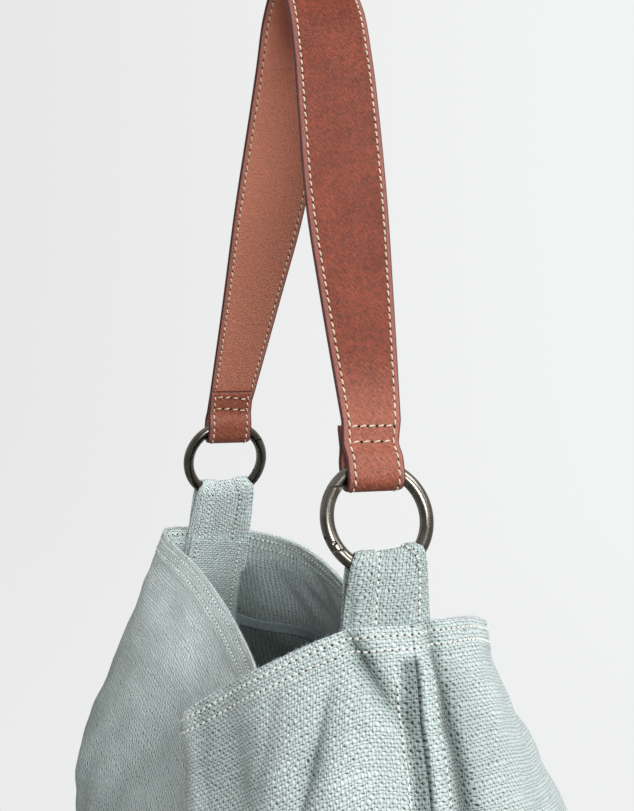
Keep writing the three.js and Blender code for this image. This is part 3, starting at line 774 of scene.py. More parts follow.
def stage_finish(right):
    """Evenly bright glowing backdrop, with painted light that makes it a little lighter towards one side."""
    finish = Finish("studio_paper", Roughness=1.0, Specular_IOR_Level=0.0)
    across = finish.reckon("DOT_PRODUCT", finish.place(), right, kind="VectorMath", output="Value")
    low, high = STAGE_SPAN
    share = finish.value("MapRange", Value=across, From_Min=low, From_Max=high)
    # Painted light: the backdrop's glow is a little brighter towards the right
    paper = finish.ramp(share, ((0.0, linear(231, 231, 231)), (1.0, linear(243, 244, 244))))
    finish.shine(Base_Color=(0.0, 0.0, 0.0, 1.0), Emission_Color=paper, Emission_Strength=1.0)
    return finish.material


CLOTH_MATERIAL = cloth_finish("jute_cloth")
TAB_MATERIAL = cloth_finish("jute_cloth_crosswise", crosswise=True)
TAPE_MATERIAL = tape_finish()
LEATHER_MATERIAL = leather_finish()
METAL_MATERIAL = metal_finish()
CLOTH_THREAD = thread_finish("pale_thread", linear(206, 209, 200), linear(234, 236, 229))
LEATHER_THREAD = thread_finish("cream_thread", linear(200, 182, 154), linear(230, 216, 192))
# Needle holes are painted dark lenses that stand for the shade inside the holes
HOLE_SHADE_MATERIAL = plain_finish("needle_hole_shade", linear(36, 28, 24), linear(58, 46, 40), 300.0, 0.9)
FUZZ_MATERIAL = plain_finish("loose_fibres", linear(160, 174, 172), linear(196, 208, 206), 300.0, 0.9)


# Sewing

STITCH_RINGS, STITCH_SIDES = 5, 6


def tube_faces(rings, sides):
    """Triangles between the rings of points of a tube."""
    faces = []
    for ring in range(rings - 1):
        for side in range(sides):
            a, b = ring * sides + side, ring * sides + (side + 1) % sides
            faces += [(a, b, b + sides), (a, b + sides, a + sides)]
    return faces


def stitch_shape(style):
    """One stitch along x: a round thread whose ends dip into the surface."""
    share = np.linspace(-STITCH_REACH, STITCH_REACH, STITCH_RINGS)
    angle = 2 * math.pi * np.arange(STITCH_SIDES) / STITCH_SIDES
    radius = style["radius"] * np.sqrt(1 - share ** 4)
    lift = style["radius"] * (STITCH_LIFT - STITCH_DIP * share ** 2)
    x = np.repeat(share * style["length"] / 2, STITCH_SIDES)
    y = np.outer(radius, np.cos(angle)).ravel()
    z = (np.outer(radius, np.sin(angle)) + lift[:, None]).ravel()
    tips = np.array([[s * style["length"] / 2, 0, -STITCH_TIP * style["radius"]] for s in (-1, 1)])
    points = np.concatenate([np.stack([x, y, z], -1), tips])
    faces = tube_faces(STITCH_RINGS, STITCH_SIDES)
    first, last = len(points) - 2, len(points) - 1
    final = (STITCH_RINGS - 1) * STITCH_SIDES
    for side in range(STITCH_SIDES):
        after = (side + 1) % STITCH_SIDES
        faces += [(first, after, side), (last, final + side, final + after)]
    return points, np.array(faces)


def hole_shape(style):
    """One needle hole: a low lens, painted dark as the hole's shade."""
    angle = 2 * math.pi * np.arange(STITCH_SIDES) / STITCH_SIDES
    rim = np.stack([np.cos(angle) * style["hole"], np.sin(angle) * style["hole"], 0 * angle], -1)
    points = np.concatenate([rim, [[0, 0, HOLE_DOME], [0, 0, -HOLE_DEPTH]]])
    faces = []
    for side in range(STITCH_SIDES):
        after = (side + 1) % STITCH_SIDES
        faces += [(side, after, STITCH_SIDES), (after, side, STITCH_SIDES + 1)]
    return points, np.array(faces)


def stitched(name, rows, style, thread):
    """Stitches and needle holes along lines on surfaces, as one piece. A row is its points and normals."""
    shapes = (stitch_shape(style), hole_shape(style))
    points, faces, kinds, count = [], [], [], 0
    for line, normals in rows:
        gone = run(line, 0)
        number = max(1, int(gone[-1] / style["pitch"]))
        pitch = gone[-1] / number
        for kind, (shape, shape_faces) in enumerate(shapes):
            places = (np.arange(number) + (0.5 if kind == 0 else 1.0)) * pitch
            stray = RANDOM.uniform(-STITCH_STRAY, STITCH_STRAY, number) * pitch
            places = np.minimum(places + stray, gone[-1])
            spot = at_lengths(line, gone, places)
            up = unit(at_lengths(normals, gone, places))
            back, front = (at_lengths(line, gone, places + step) for step in (-STITCH_AHEAD, STITCH_AHEAD))
            ahead = front - back
            ahead = unit(ahead - up * (ahead * up).sum(-1, keepdims=True))
            side = np.cross(up, ahead)
            slant = style["slant"] + RANDOM.uniform(-STITCH_TWIST, STITCH_TWIST, number)
            slant = np.radians(slant)[:, None]
            ahead, side = (ahead * np.cos(slant) + side * np.sin(slant),
                           side * np.cos(slant) - ahead * np.sin(slant))
            made = (spot[:, None] + shape[None, :, :1] * ahead[:, None]
                    + shape[None, :, 1:2] * side[:, None] + shape[None, :, 2:] * up[:, None])
            offsets = count + np.arange(number)[:, None, None] * len(shape)
            points.append(made.reshape(-1, 3))
            faces.append((shape_faces[None] + offsets).reshape(-1, 3))
            kinds.append(np.full(number * len(shape_faces), kind))
            count += number * len(shape)
    piece = make_piece(name, np.concatenate(points), np.concatenate(faces), (thread, HOLE_SHADE_MATERIAL))
    piece.data.polygons.foreach_set("material_index", np.concatenate(kinds).astype(np.int32))
    return piece


# Bag body

def rumple(across, along):
    """Small uneven waves of coarse cloth."""
    depth = np.zeros(across.shape)
    for _ in range(RUMPLE["waves"]):
        wavelength = RANDOM.uniform(*RUMPLE["lengths"])
        way = RANDOM.uniform(0, math.pi)
        phase = RANDOM.uniform(0, 2 * math.pi)
        wave = np.sin(2 * math.pi * (across * math.cos(way) + along * math.sin(way)) / wavelength + phase)
        depth += RUMPLE["steepness"] * wavelength * wave
    return depth


def seam_stray(level):
    """How far the near seam's line strays from turn 0 at each level."""
    drop = -MOUTH_DROP - smooth_body(np.zeros_like(level), level)[..., 2]
    goes, returns = (smooth((drop - low) / (high - low)) for low, high in (SEAM_GOES, SEAM_RETURNS))
    return SEAM_STRAY * goes * (1 - returns)


def panel_sheet(side):
    """One cloth panel: its sheet, its lengths to both seams and below the mouth, and its painted shade."""
    share = np.linspace(0, 1, PANEL_COLUMNS)
    share = share - PANEL_CROWDING * np.sin(2 * math.pi * share) / (2 * math.pi)
    starts = [start for start, _ in PANEL_ROWS] + [LAST_LEVEL]
    rows = [np.linspace(start, end, count, endpoint=False)
            for (start, count), end in zip(PANEL_ROWS, starts[1:])]
    share, level = np.meshgrid(share, np.concatenate([*rows, [LAST_LEVEL]]))
    stray = seam_stray(level)
    start, end = (stray, FAR_SEAM) if side < 0 else (FAR_SEAM, 1 + stray)
    turn = start + (end - start) * share
    middle = body(turn, level)
    # Painted shade in the folds' hollows, and painted light where a fold's shade is below nothing
    painted_fold_shade = folded(turn, -MOUTH_DROP - middle[..., 2], FOLD_SHADE)
    for edge, beside in ((0, 1), (-1, -2)):
        middle[:, edge] += unit(middle[:, beside] - middle[:, edge]) * CLEARANCE / 2
    middle[-1, :, 1] = side * CLEARANCE / 2
    below = run(middle, 0)
    from_first = run(middle, 1)
    to_last = from_first[:, -1:] - from_first
    near, far = (from_first, to_last) if side < 0 else (to_last, from_first)
    wave = rumple(near + side * RUMPLE["apart"], below) * smooth(below / RUMPLE["below_lip"])
    wave *= smooth(np.minimum(near, far) / RUMPLE["beside_seam"])
    out = FACE_OUT + wave + face_relief(near, far, below, side)
    turned_in = smooth((TAPE_DEPTH + TAPE_WIDTH / 2 - below) / (TAPE_WIDTH / 2))
    into = FACE_IN - wave + FACING_STEP * turned_in
    fray = np.zeros_like(out)
    fray[0] = RANDOM.uniform(*LIP_FRAY, PANEL_COLUMNS)
    shade = face_shade(near, far, below, painted_fold_shade, side)
    return Sheet(middle, out + fray, into, (LIP_ROUND, 0, 0, 0)), near, far, below, shade


def seam_shown(below):
    """Share of the seams' sewn bands, which begin under the hem and end before the bottom corners."""
    begins = step_up(below, SEAM["from"], SEAM["fade"])
    return begins * step_up(below[-1:] - below, SEAM["fade"], SEAM["foot"])


def face_relief(near, far, below, side):
    """Height of the sewing on a panel's outer face: the turned hem, its rows and the seams' sewn bands."""
    relief = HEM["swell"] * smooth((HEM["depth"] - below) / HEM["slope"] + 0.5)
    for row in HEM["rows"]:
        relief -= HEM["groove"] * bell(below - row, HEM["groove_half"])
    shown = seam_shown(below)
    for seam in (near, far):
        band = -HEM["groove"] * bell(seam - SEAM["row"], HEM["groove_half"])
        band -= SEAM["groove"] * bell(seam, SEAM["groove_half"])
        full = SEAM["flat"] if side > 0 else SEAM["groove_half"]
        band += SEAM["ridge"] * np.clip((SEAM["row"] - seam) / (SEAM["row"] - full), 0, 1)
        relief += band * shown
    return relief


def face_shade(near, far, below, painted_fold_shade, side):
    """Painted shade of the outer face: in folds, by the near seam and on the far half, with painted light by
    the far half's hem and along the lobe's edge.
    """
    seam = np.minimum(near, far)
    groove = SEAM_SHADE["groove"] * bell(seam, SEAM["groove_half"])
    faded = 1 - SEAM_SHADE["loss"] * step_up(below, *SEAM_SHADE["fades"])
    band = SEAM_SHADE["band"] * smooth((SEAM["row"] - seam) / SEAM_SHADE["slope"]) * faded
    band *= (side < 0) * (near < far)
    # Painted shade on the far half, lighter by its hem
    far_half_shade = FAR_HALF_PAINTED_SHADE["hem"] + (FAR_HALF_PAINTED_SHADE["below"] - FAR_HALF_PAINTED_SHADE["hem"]) * step_up(below, *FAR_HALF_PAINTED_SHADE["grows"])
    far_half_shade *= step_up(near, *FAR_HALF_PAINTED_SHADE["reach"]) * (1 - step_up(below, *FAR_HALF_PAINTED_SHADE["ends"])) * (side < 0)
    return np.clip(painted_fold_shade + far_half_shade + seam_shown(below) * np.maximum(groove, band), FAR_HALF_PAINTED_SHADE["hem"], MOST_SHADE)


def inside_shade(far, below):
    """Painted shade of the inner face: painted light at the lip, painted shade below the tape and towards the
    far corner.
    """
    lip, deep = INSIDE_SHADE["lip"], INSIDE_SHADE["deep"]
    shade = lip + (deep - lip) * step_up(below, TAPE_DEPTH / 2, TAPE_DEPTH)
    corner = smooth(1 - far / INSIDE_SHADE["reach"]) * step_up(below, *INSIDE_SHADE["grows"])
    return np.minimum(shade + INSIDE_SHADE["corner"] * corner, INSIDE_SHADE["most"])


def bag_panel(name, node, side):
    """One panel of the body with its sewing and loose fibres: front (-1) or back (1)."""
    sheet, near, far, below, shade = panel_sheet(side)
    points, faces, uv = sheet.solid(np.stack([near * -side, below], -1))
    inner = inside_shade(far, below)
    rim = np.zeros(len(points) - 2 * shade.size)
    # Painted shade on both faces; on the outer face it also darkens the weave's pits
    values = {"shade": np.concatenate([shade.ravel(), inner.ravel(), rim]),
              "pits": np.concatenate([shade.ravel(), 0 * inner.ravel(), rim])}
    piece = make_piece(name, points, faces, CLOTH_MATERIAL, uv=uv, values=values)
    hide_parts(node)
    width = (near[:, 0] + near[:, -1]).mean() * MM
    length = below[-1].mean() * MM
    hem_rows = [sheet.line(face, below, row, 0) for face in (1, -1) for row in HEM["rows"]]
    seam_rows = []
    for seam in (near, far):
        rising = seam[0, -1] > seam[0, 0]
        field, value = (seam, SEAM["row"]) if rising else (-seam, -SEAM["row"])
        line, normals = sheet.line(1, field, value, 1)
        shown = below.min(1) > SEAM["from"]
        seam_rows.append((line[shown], normals[shown]))
    stitches = stitched(name + "_stitches", hem_rows + seam_rows, STITCH_CLOTH, CLOTH_THREAD)
    fuzz = lip_fuzz(name + "_fuzz", sheet)


# Loose fibres on the mouth's edge

FIBRES, FIBRE_SIDES, FIBRE_RINGS, SHORT_OF_END = 2600, 3, 3, 1.001
FIBRE = {
    "tilt": 0.75, "lean": 0.6, "upright": 0.8, "root_up": 0.5, "root_out": 0.8, "length": (2.2, 0.42),
    "radius": (0.045, 0.09), "twist": 0.3, "curl": 0.35, "taper": 0.6,
}


def lip_fuzz(name, sheet):
    """Short loose fibres that stand out of the mouth's edge."""
    edge = (sheet.faces[1][0] + sheet.faces[-1][0]) / 2
    rise = unit(sheet.faces[1][0] - sheet.faces[1][2])
    column = RANDOM.uniform(0, len(edge) - SHORT_OF_END, FIBRES)
    k = column.astype(int)
    share = (column - k)[:, None]
    along = unit(edge[k + 1] - edge[k])
    up, out = rise[k], sheet.normals[0][k]
    tilt = RANDOM.normal(0, FIBRE["tilt"], (FIBRES, 1))
    lean = RANDOM.normal(0, FIBRE["lean"], (FIBRES, 1))
    way = unit(up * FIBRE["upright"] + out * tilt + along * lean)
    curl_out, curl_along = (RANDOM.normal(0, 1, (FIBRES, 1)) for _ in range(2))
    bend = unit(np.cross(way, along) * curl_out + along * curl_along)
    root = edge[k] * (1 - share) + edge[k + 1] * share + up * FIBRE["root_up"]
    root += out * np.clip(tilt, -1, 1) * FIBRE["root_out"]
    length = RANDOM.gamma(*FIBRE["length"], (FIBRES, 1))
    thick = RANDOM.uniform(*FIBRE["radius"], (FIBRES, 1))
    side = unit(np.cross(way, out + FIBRE["twist"] * along))
    other = np.cross(way, side)
    points = []
    for ring in range(FIBRE_RINGS):
        t = ring / FIBRE_RINGS
        centre = root + way * length * t + bend * length * FIBRE["curl"] * t * t
        for corner in range(FIBRE_SIDES):
            angle = 2 * math.pi * corner / FIBRE_SIDES
            spoke = side * math.cos(angle) + other * math.sin(angle)
            points.append(centre + spoke * thick * (1 - FIBRE["taper"] * t))
    points.append(root + way * length + bend * length * FIBRE["curl"])
    points = np.stack(points, 1)
    faces = [(0, 2, 1), *tube_faces(FIBRE_RINGS, FIBRE_SIDES)]
    top, tip = (FIBRE_RINGS - 1) * FIBRE_SIDES, FIBRE_RINGS * FIBRE_SIDES
    faces += [(top + corner, top + (corner + 1) % FIBRE_SIDES, tip) for corner in range(FIBRE_SIDES)]
    faces = np.array(faces)[None] + (np.arange(FIBRES) * points.shape[1])[:, None, None]
    return make_piece(name, points, faces.reshape(-1, 3), FUZZ_MATERIAL)


# Binding tape, facings and tabs

def tape(name, node, side):
    """Binding tape inside the mouth, between the facings' edges: front (-1) or back (1)."""
    edge = side * (FACING_HALF + 2 * CLEARANCE)
    near, far = turn_at_mouth(1.0, edge), turn_at_mouth(FAR_SEAM, edge)
    ends = (near - 1, far) if side < 0 else (far, near)
    turns = np.linspace(*ends, TAPE_COLUMNS)
    lengths = TAPE_DEPTH + np.linspace(-0.5, 0.5, TAPE_ROWS) * TAPE_WIDTH
    middle = inside_wall(turns, lengths, CLOTH / 2 + SEAT + TAPE_THICKNESS / 2)
    half = TAPE_THICKNESS / 2
    points, faces, uv = Sheet(middle, half, half, (half,) * 4).solid()
    piece = make_piece(name, points, faces, TAPE_MATERIAL, uv=uv)
    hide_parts(node)
    return piece


LEG_SPARE = 1.0
LEG_DEPTHS = [CLOTH / 2 + n * SEAT + (n - 0.5) * TAB_CLOTH for n in (1, 2)]


def facing(name, node, seam):
    """Strip sewn inside a side seam, over the legs of its tab."""
    beside = CLOTH / 2 + SEAT + FACING_CLOTH / 2
    over_legs = LEG_DEPTHS[1] + TAB_CLOTH / 2 + SEAT + FACING_CLOTH / 2
    turns = np.sort(turn_at_mouth(seam, np.linspace(-FACING_HALF, FACING_HALF, FACING_COLUMNS)))
    lengths = FACING_TOP + np.linspace(0, 1, FACING_ROWS) * FACING_LENGTH
    past = step_up(lengths, TAB_TUCK + LEG_SPARE, FACING_SETTLE)
    middle = inside_wall(turns, lengths, over_legs + (beside - over_legs) * past)
    across = run(middle, 1)
    edge = np.minimum(across, across[:, -1:] - across)
    half = FACING_CLOTH / 2
    row = FACING_EDGE["row"]
    into = half + FACING_EDGE["swell"] * smooth((FACING_EDGE["band"] - edge) / FACING_EDGE["slope"])
    into -= FACING_EDGE["groove"] * bell(edge - row, FACING_EDGE["groove_half"])
    sheet = Sheet(middle, half, into, (half,) * 4)
    points, faces, uv = sheet.solid()
    # Painted light on the facing's faces, painted shade on its rims
    values = {"shade": np.full(len(points), FACING_SHADE)}
    values["shade"][2 * middle[..., 0].size:] = FACING_RIM_SHADE
    piece = make_piece(name, points, faces, CLOTH_MATERIAL, uv=uv, values=values)
    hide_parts(node)
    across = sheet.across
    rows = [sheet.line(-1, across, row, 1), sheet.line(-1, across - across[:, -1:], -row, 1)]
    stitches = stitched(name + "_stitches", rows, STITCH_CLOTH, CLOTH_THREAD)


def tab(name, node, end, seam, foot, fan, rows):
    """Cloth tab: both legs lie inside the wall, and its loop goes round the foot of the ring."""
    share = np.linspace(0, 1, TAB_COLUMNS)
    turns = turn_at_mouth(seam, end * (foot[0] + share * (foot[1] - foot[0])))
    fans = np.radians(fan[0] + share * (fan[1] - fan[0]))
    tucks = np.linspace(TAB_TUCK, 0, TAB_LEG_POINTS)
    around = RING_WIRE + CLEARANCE + TAB_CLOTH / 2
    bridge = TAB_BRIDGE * np.sin(math.pi * share)
    legs = [inside_wall(turns, tucks[::-1], depth)[::-1] for depth in LEG_DEPTHS]
    loop = []
    for angle in np.linspace(0, math.pi, TAB_LOOP_POINTS):
        radius = RING_RADIUS - (around + bridge) * math.sin(angle)
        loop.append(ring_point(end, radius * np.sin(fans), -radius * np.cos(fans), around * math.cos(angle)))
    path = np.concatenate([legs[0], np.stack(loop), legs[1][::-1]])
    steps = np.linspace(0, 1, CURVE_STEPS)
    middle = np.stack([resampled(curve_through(path[:, c], steps), TAB_ROWS) for c in range(len(share))], 1)
    width = run(middle, 1)
    edge = np.minimum(width, width[:, -1:] - width)
    half = TAB_CLOTH / 2
    from_left = (share - rows[0]) * width[:, -1:]
    from_right = (rows[1] - share) * width[:, -1:]
    bands = sum(smooth(0.5 - away / TAB_EDGE["slope"]) for away in (from_left, from_right))
    out = half + TAB_EDGE["swell"] * bands - TAB_EDGE["swell"] * bell(edge, TAB_EDGE["round"])
    for away in (from_left, from_right):
        out -= TAB_EDGE["groove"] * bell(away, TAB_EDGE["groove_half"])
    sheet = Sheet(middle, out, half, (half,) * 4)
    points, faces, uv = sheet.solid()
    # The whole tab painted darker or lighter as shade or light, and its pits darkened
    values = {"shade": np.full(len(points), TAB_SHADE[end]), "pits": np.full(len(points), TAB_PITS)}
    piece = make_piece(name, points, faces, TAB_MATERIAL, uv=uv, values=values)
    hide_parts(node)
    field = np.broadcast_to(share, sheet.down.shape)
    lines = [sheet.line(1, field, row, 1) for row in rows]
    stitches = stitched(name + "_stitches", lines, STITCH_CLOTH, CLOTH_THREAD)


# Strap

STRAP_STATIONS = 420
STRAP_INSETS = (0.0, 0.3, 0.8, 1.4, 1.8, 2.1, 2.4, 2.8, 3.3, 4.2)
STRAP_MIDDLES = np.linspace(-1, 1, 11)[1:-1]
STRAP_CUT_ROUND, STRAP_ROUND = 0.5, 0.7
STRAP_ENDS = {
    1: {"cut": (-1.75, 41.5), "rows": (33.0, 40.2)},
    -1: {"cut": (-2.3, 45.5), "rows": (35.0, 42.5)},
}
STRAP_PRESS = {"edge": 0.45, "edge_half": 1.0, "row": 0.22, "row_half": 0.55}
STRAP_MARGIN, PAINT_WIDTH, PAINT_SHARE = 1.9, 0.2, 0.85
LOOP_WEAR, LOOP_PALE, STRAP_BARE_END = 40.0, 0.3, 1


def loop_path(end):
    """Middle line of the strap round one ring, from its cut end to where it joins the run."""
    inner = RING_RADIUS - RING_WIRE
    bend = RING_WIRE + CLEARANCE + LEATHER / 2
    centre = math.sqrt(inner ** 2 - LOOP_HALF ** 2) - CLEARANCE + bend - LEATHER / 2
    ply = (LEATHER + CLEARANCE) / 2
    share = np.linspace(0, 1, LOOP_SIDE_POINTS)
    height = LOOP_PARTS + (LOOP_JOINS - LOOP_PARTS) * share
    side = np.stack([bend + (ply - bend) * smooth(share), height], -1)
    angle = np.linspace(math.pi, 2 * math.pi, LOOP_FOOT_POINTS)
    bottom = np.stack([bend * np.cos(angle), centre + bend * np.sin(angle)], -1)
    path = np.concatenate([[STRAP_ENDS[end]["cut"]], side[::-1] * (-1, 1), bottom, side])
    points = ring_point(end, 0.0, path[:, 1], path[:, 0])
    return np.concatenate([points, np.full((len(points), 1), LOOP_HALF)], 1)


def strap_path():
    """Middle line and half width of the whole strap from cut end to cut end, and its two loops' lengths."""
    ply = (LEATHER + CLEARANCE) / 2
    rows = [(x, lean, z, half) for x, z, lean, half in STRAP_RUN]
    feet = [ring_point(end, 0.0, LOOP_LEAVES, ply) for end in (1, -1)]
    near, far = ((x, STRAP_FOOT_LEAN, z, STRAP_FOOT_HALF) for x, _, z in feet)
    over = curve_through([near, *rows, far], np.linspace(0, 1, CURVE_STEPS))
    loops = [loop_path(1), loop_path(-1)]
    path = np.concatenate([loops[0], over, loops[1][::-1]])
    gone = run(path[:, :3], 0)
    even = at_lengths(path, gone, np.linspace(0, gone[-1], STRAP_STATIONS))
    return even, [run(loop[:, :3], 0)[-1] for loop in loops]


def strap():
    """The leather strap, pressed at its edges and under its stitches, which are a piece of their own."""
    path, loops = strap_path()
    half_width = path[:, 3:]
    insets = np.array(STRAP_INSETS)
    inner = (half_width - STRAP_INSETS[-1]) * STRAP_MIDDLES
    across = np.concatenate([insets - half_width, inner, half_width - insets[::-1]], 1)
    middle = np.repeat(path[:, None, :3], across.shape[1], axis=1)
    middle[..., 1] += across
    inset = half_width - np.abs(across)
    half = LEATHER / 2
    pressed = STRAP_PRESS["edge"] * bell(inset, STRAP_PRESS["edge_half"])
    pressed += STRAP_PRESS["row"] * bell(inset - STRAP_ROW_IN, STRAP_PRESS["row_half"])
    sheet = Sheet(middle, half - pressed, half - pressed, (STRAP_CUT_ROUND, STRAP_ROUND) * 2)
    points, faces, uv = sheet.solid()
    # Where the painted sheen lies: a band between the stitches and the edge
    margin_sheen = np.exp(-(inset / STRAP_MARGIN) ** 4)
    rim = np.ones(len(points) - 2 * inset.size)
    edge = np.where(inset < PAINT_WIDTH, PAINT_SHARE, 0.0)
    gone = sheet.down
    amount = np.zeros(gone.shape)
    for end, loop, place in ((1, loops[0], gone), (-1, loops[1], gone[-1] - gone)):
        amount += smooth((loop - LOOP_JOINS + STRAP_ENDS[end]["rows"][1] - place) / LOOP_WEAR + 1)
    values = {
        "edge": np.concatenate([edge.ravel(), edge.ravel(), rim]),
        "margin_sheen": np.concatenate([margin_sheen.ravel(), margin_sheen.ravel(), rim]),
        "lining": np.concatenate([LOOP_PALE * amount.ravel(), np.ones(edge.size), rim]),
    }
    piece = make_piece("leather_strap", points, faces, LEATHER_MATERIAL, uv=uv, values=values)
    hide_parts("strap")
    stitched("strap_stitches", strap_rows(sheet, loops), STITCH_LEATHER, LEATHER_THREAD)


def strap_rows(sheet, loops):
    """Rows of stitches along both edges of both faces, and across the strap where its ends are sewn back."""
    gone = sheet.down[:, sheet.down.shape[1] // 2]
    total = gone[-1]
    shown = {
        1: (gone > STRAP_BARE_END) & (gone < total - STRAP_BARE_END),
        -1: (gone > loops[0]) & (gone < total - loops[1]),
    }
    column = int(np.argmin(np.abs(np.array(STRAP_INSETS) - STRAP_ROW_IN)))
    rows = []
    for face in (1, -1):
        for edge in (column, -1 - column):
            rows.append((sheet.faces[face][shown[face], edge], sheet.normals[shown[face], edge] * face))
    middle = slice(column + 1, -1 - column)
    for end, loop in zip((1, -1), loops):
        for height in STRAP_ENDS[end]["rows"]:
            turned_back = STRAP_ENDS[end]["cut"][1] - height
            running = loop + height - LOOP_JOINS
            for place in (turned_back, running):
                line, normals = sheet.line(1, sheet.down, place if end > 0 else total - place, 0)
                rows.append((line[middle], normals[middle]))
    return rows


# Rings, gates and pins, in each ring's own plane: across, up, out

TORUS_STEPS, TORUS_SIDES, ROUND_SIDES = 176, 36, 28
BEYOND = RING_RADIUS + 2 * RING_WIRE
PAST = 2.0
WIDE = 2 * (RING_WIRE + PAST)
PIN_SHORT, PIN_DOME, RING_CREASE = 1.0, 0.12, math.radians(32)
DOME = ((0.35, 1.0), (0.75, 0.6), (1.0, 0.0))


def mesh_object(name, points, faces):
    """Object made from points and faces as they are."""
    mesh = bpy.data.meshes.new(name)
    mesh.from_pydata(np.asarray(points).tolist(), [], [list(face) for face in faces])
    return add_object(name, mesh)


def round_faces(index):
    """Faces between rows of points that each go all the way round."""
    on = np.roll(index, -1, 1)
    return np.stack([index[:-1], on[:-1], on[1:], index[1:]], -1).reshape(-1, 4).tolist()


def torus():
    """Whole ring of round wire."""
    a, b = np.meshgrid(2 * math.pi * np.arange(TORUS_STEPS) / TORUS_STEPS,
                       2 * math.pi * np.arange(TORUS_SIDES) / TORUS_SIDES, indexing="ij")
    out = RING_RADIUS + RING_WIRE * np.cos(b)
    points = np.stack([out * np.cos(a), out * np.sin(a), RING_WIRE * np.sin(b)], -1).reshape(-1, 3)
    index = np.arange(a.size).reshape(a.shape)
    on, up = np.roll(index, -1, 0), np.roll(index, -1, 1)
    faces = np.stack([index, on, np.roll(on, -1, 1), up], -1).reshape(-1, 4)
    return mesh_object("torus", points, faces)


def turned_about_pin(points, angle):
    """Points of a ring's plane, turned about its pin."""
    u, v, n = np.asarray(points, float).T
    u, v = u - PIN_U, v - PIN_V
    return np.stack([PIN_U + u * math.cos(angle) - v * math.sin(angle),
                     PIN_V + u * math.sin(angle) + v * math.cos(angle), n], -1)


def block(low, high, angle=0.0):
    """Block between two corners, turned about the pin."""
    corners = [[(low, high)[x][0], (low, high)[y][1], (low, high)[z][2]]
               for z in (0, 1) for y in (0, 1) for x in (0, 1)]
    faces = ((0, 2, 3, 1), (4, 5, 7, 6), (0, 1, 5, 4), (2, 6, 7, 3), (0, 4, 6, 2), (1, 3, 7, 5))
    return mesh_object("block", turned_about_pin(corners, angle), faces)


def slab(bottom, top, thick, angle=0.0):
    """Block over the gate's side of the ring between two heights."""
    return block((-BEYOND, bottom, -thick / 2), (0, top, thick / 2), angle)


def pin_round(radius, length, dome):
    """Round bar along the pin's axis, its ends crowned by a dome."""
    turn = 2 * math.pi * np.arange(ROUND_SIDES) / ROUND_SIDES
    profile = [(share, length / 2 + height * dome) for share, height in DOME]
    profile = [(share, -out) for share, out in profile] + profile[::-1]
    points = [[PIN_U + radius * share * math.cos(t), PIN_V + radius * share * math.sin(t), out]
              for share, out in profile for t in turn]
    index = np.arange(len(points)).reshape(len(profile), ROUND_SIDES)
    faces = round_faces(index) + [index[0, ::-1].tolist(), index[-1].tolist()]
    return mesh_object("round", points, faces)


def cut(first, *steps):
    """First mesh, joined with or cut by the others in turn. The others are used up."""
    for operation, other in steps:
        modifier = first.modifiers.new(operation, "BOOLEAN")
        modifier.operation, modifier.solver, modifier.object = operation, "EXACT", other
    graph = bpy.context.evaluated_depsgraph_get()
    mesh = bpy.data.meshes.new_from_object(first.evaluated_get(graph))
    for used in [first] + [other for _, other in steps]:
        bpy.data.objects.remove(used)
    return add_object("cut", mesh)


def ring_piece(name, node, solid, end, rides):
    """Piece made from a solid of the ring's own plane, which is used up."""
    mesh = solid.data
    count = len(mesh.vertices)
    points = np.empty(count * 3)
    mesh.vertices.foreach_get("co", points)
    u, v, n = points.reshape(-1, 3).T
    mesh.vertices.foreach_set("co", placed(ring_point(end, u, v, n)).ravel())
    bpy.data.objects.remove(solid)
    mesh.update()
    piece = dress(name, mesh, METAL_MATERIAL, rides, RING_CREASE)
    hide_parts(node)


def ring_and_gate(key, end):
    """One ring cut open for its gate, the gate with room for the strap and the tab, and the pin."""
    half = GATE_PARTING / 2
    hole = (PIN_RADIUS + CLEARANCE, PIN_LENGTH + PAST, 0.0)
    strap_side = -LOOP_HALF - STRAP_ROUND - CLEARANCE
    strap_low = math.sqrt((RING_RADIUS - RING_WIRE) ** 2 - LOOP_HALF ** 2) - LEATHER - 2 * CLEARANCE
    nose_low, heel_high = GATE_TOP - TONGUE["nose"], PIN_V + TONGUE["heel"]
    gap = cut(slab(GATE_BOTTOM - half, GATE_TOP + half, WIDE),
              ("DIFFERENCE", slab(nose_low, GATE_TOP + PAST, TONGUE["thickness"])),
              ("DIFFERENCE", slab(GATE_BOTTOM - PAST, heel_high, TONGUE["thickness"])))
    ring = cut(torus(), ("DIFFERENCE", gap), ("DIFFERENCE", pin_round(*hole)))
    steps = [
        ("INTERSECT", slab(GATE_BOTTOM + half, GATE_TOP - half, WIDE)),
        ("DIFFERENCE", slab(nose_low - TONGUE["nose_play"], GATE_TOP + PAST, TONGUE["slot"])),
        ("DIFFERENCE", slab(GATE_BOTTOM - PAST, heel_high + TONGUE["heel_play"], TONGUE["slot"])),
        ("DIFFERENCE", pin_round(*hole)),
    ]
    for swing in (GATE_OPENS / 2, GATE_OPENS):
        steps.append(("DIFFERENCE", block((strap_side, strap_low, -WIDE), (0, BEYOND, WIDE), swing)))
        steps.append(("DIFFERENCE", slab(-BEYOND, GATE_BOTTOM + half, WIDE, swing)))
    gate = cut(torus(), *steps)
    ring_piece("gate_ring_" + key, "ring_" + key, ring, end, "bag")
    ring_piece("ring_gate_" + key, "gate_" + key, gate, end, "gate_" + key)
    pin = pin_round(PIN_RADIUS, PIN_LENGTH - PIN_SHORT, PIN_DOME)
    ring_piece("gate_pin_" + key, "pin_" + key, pin, end, "bag")


# Camera, light and stage, in metres

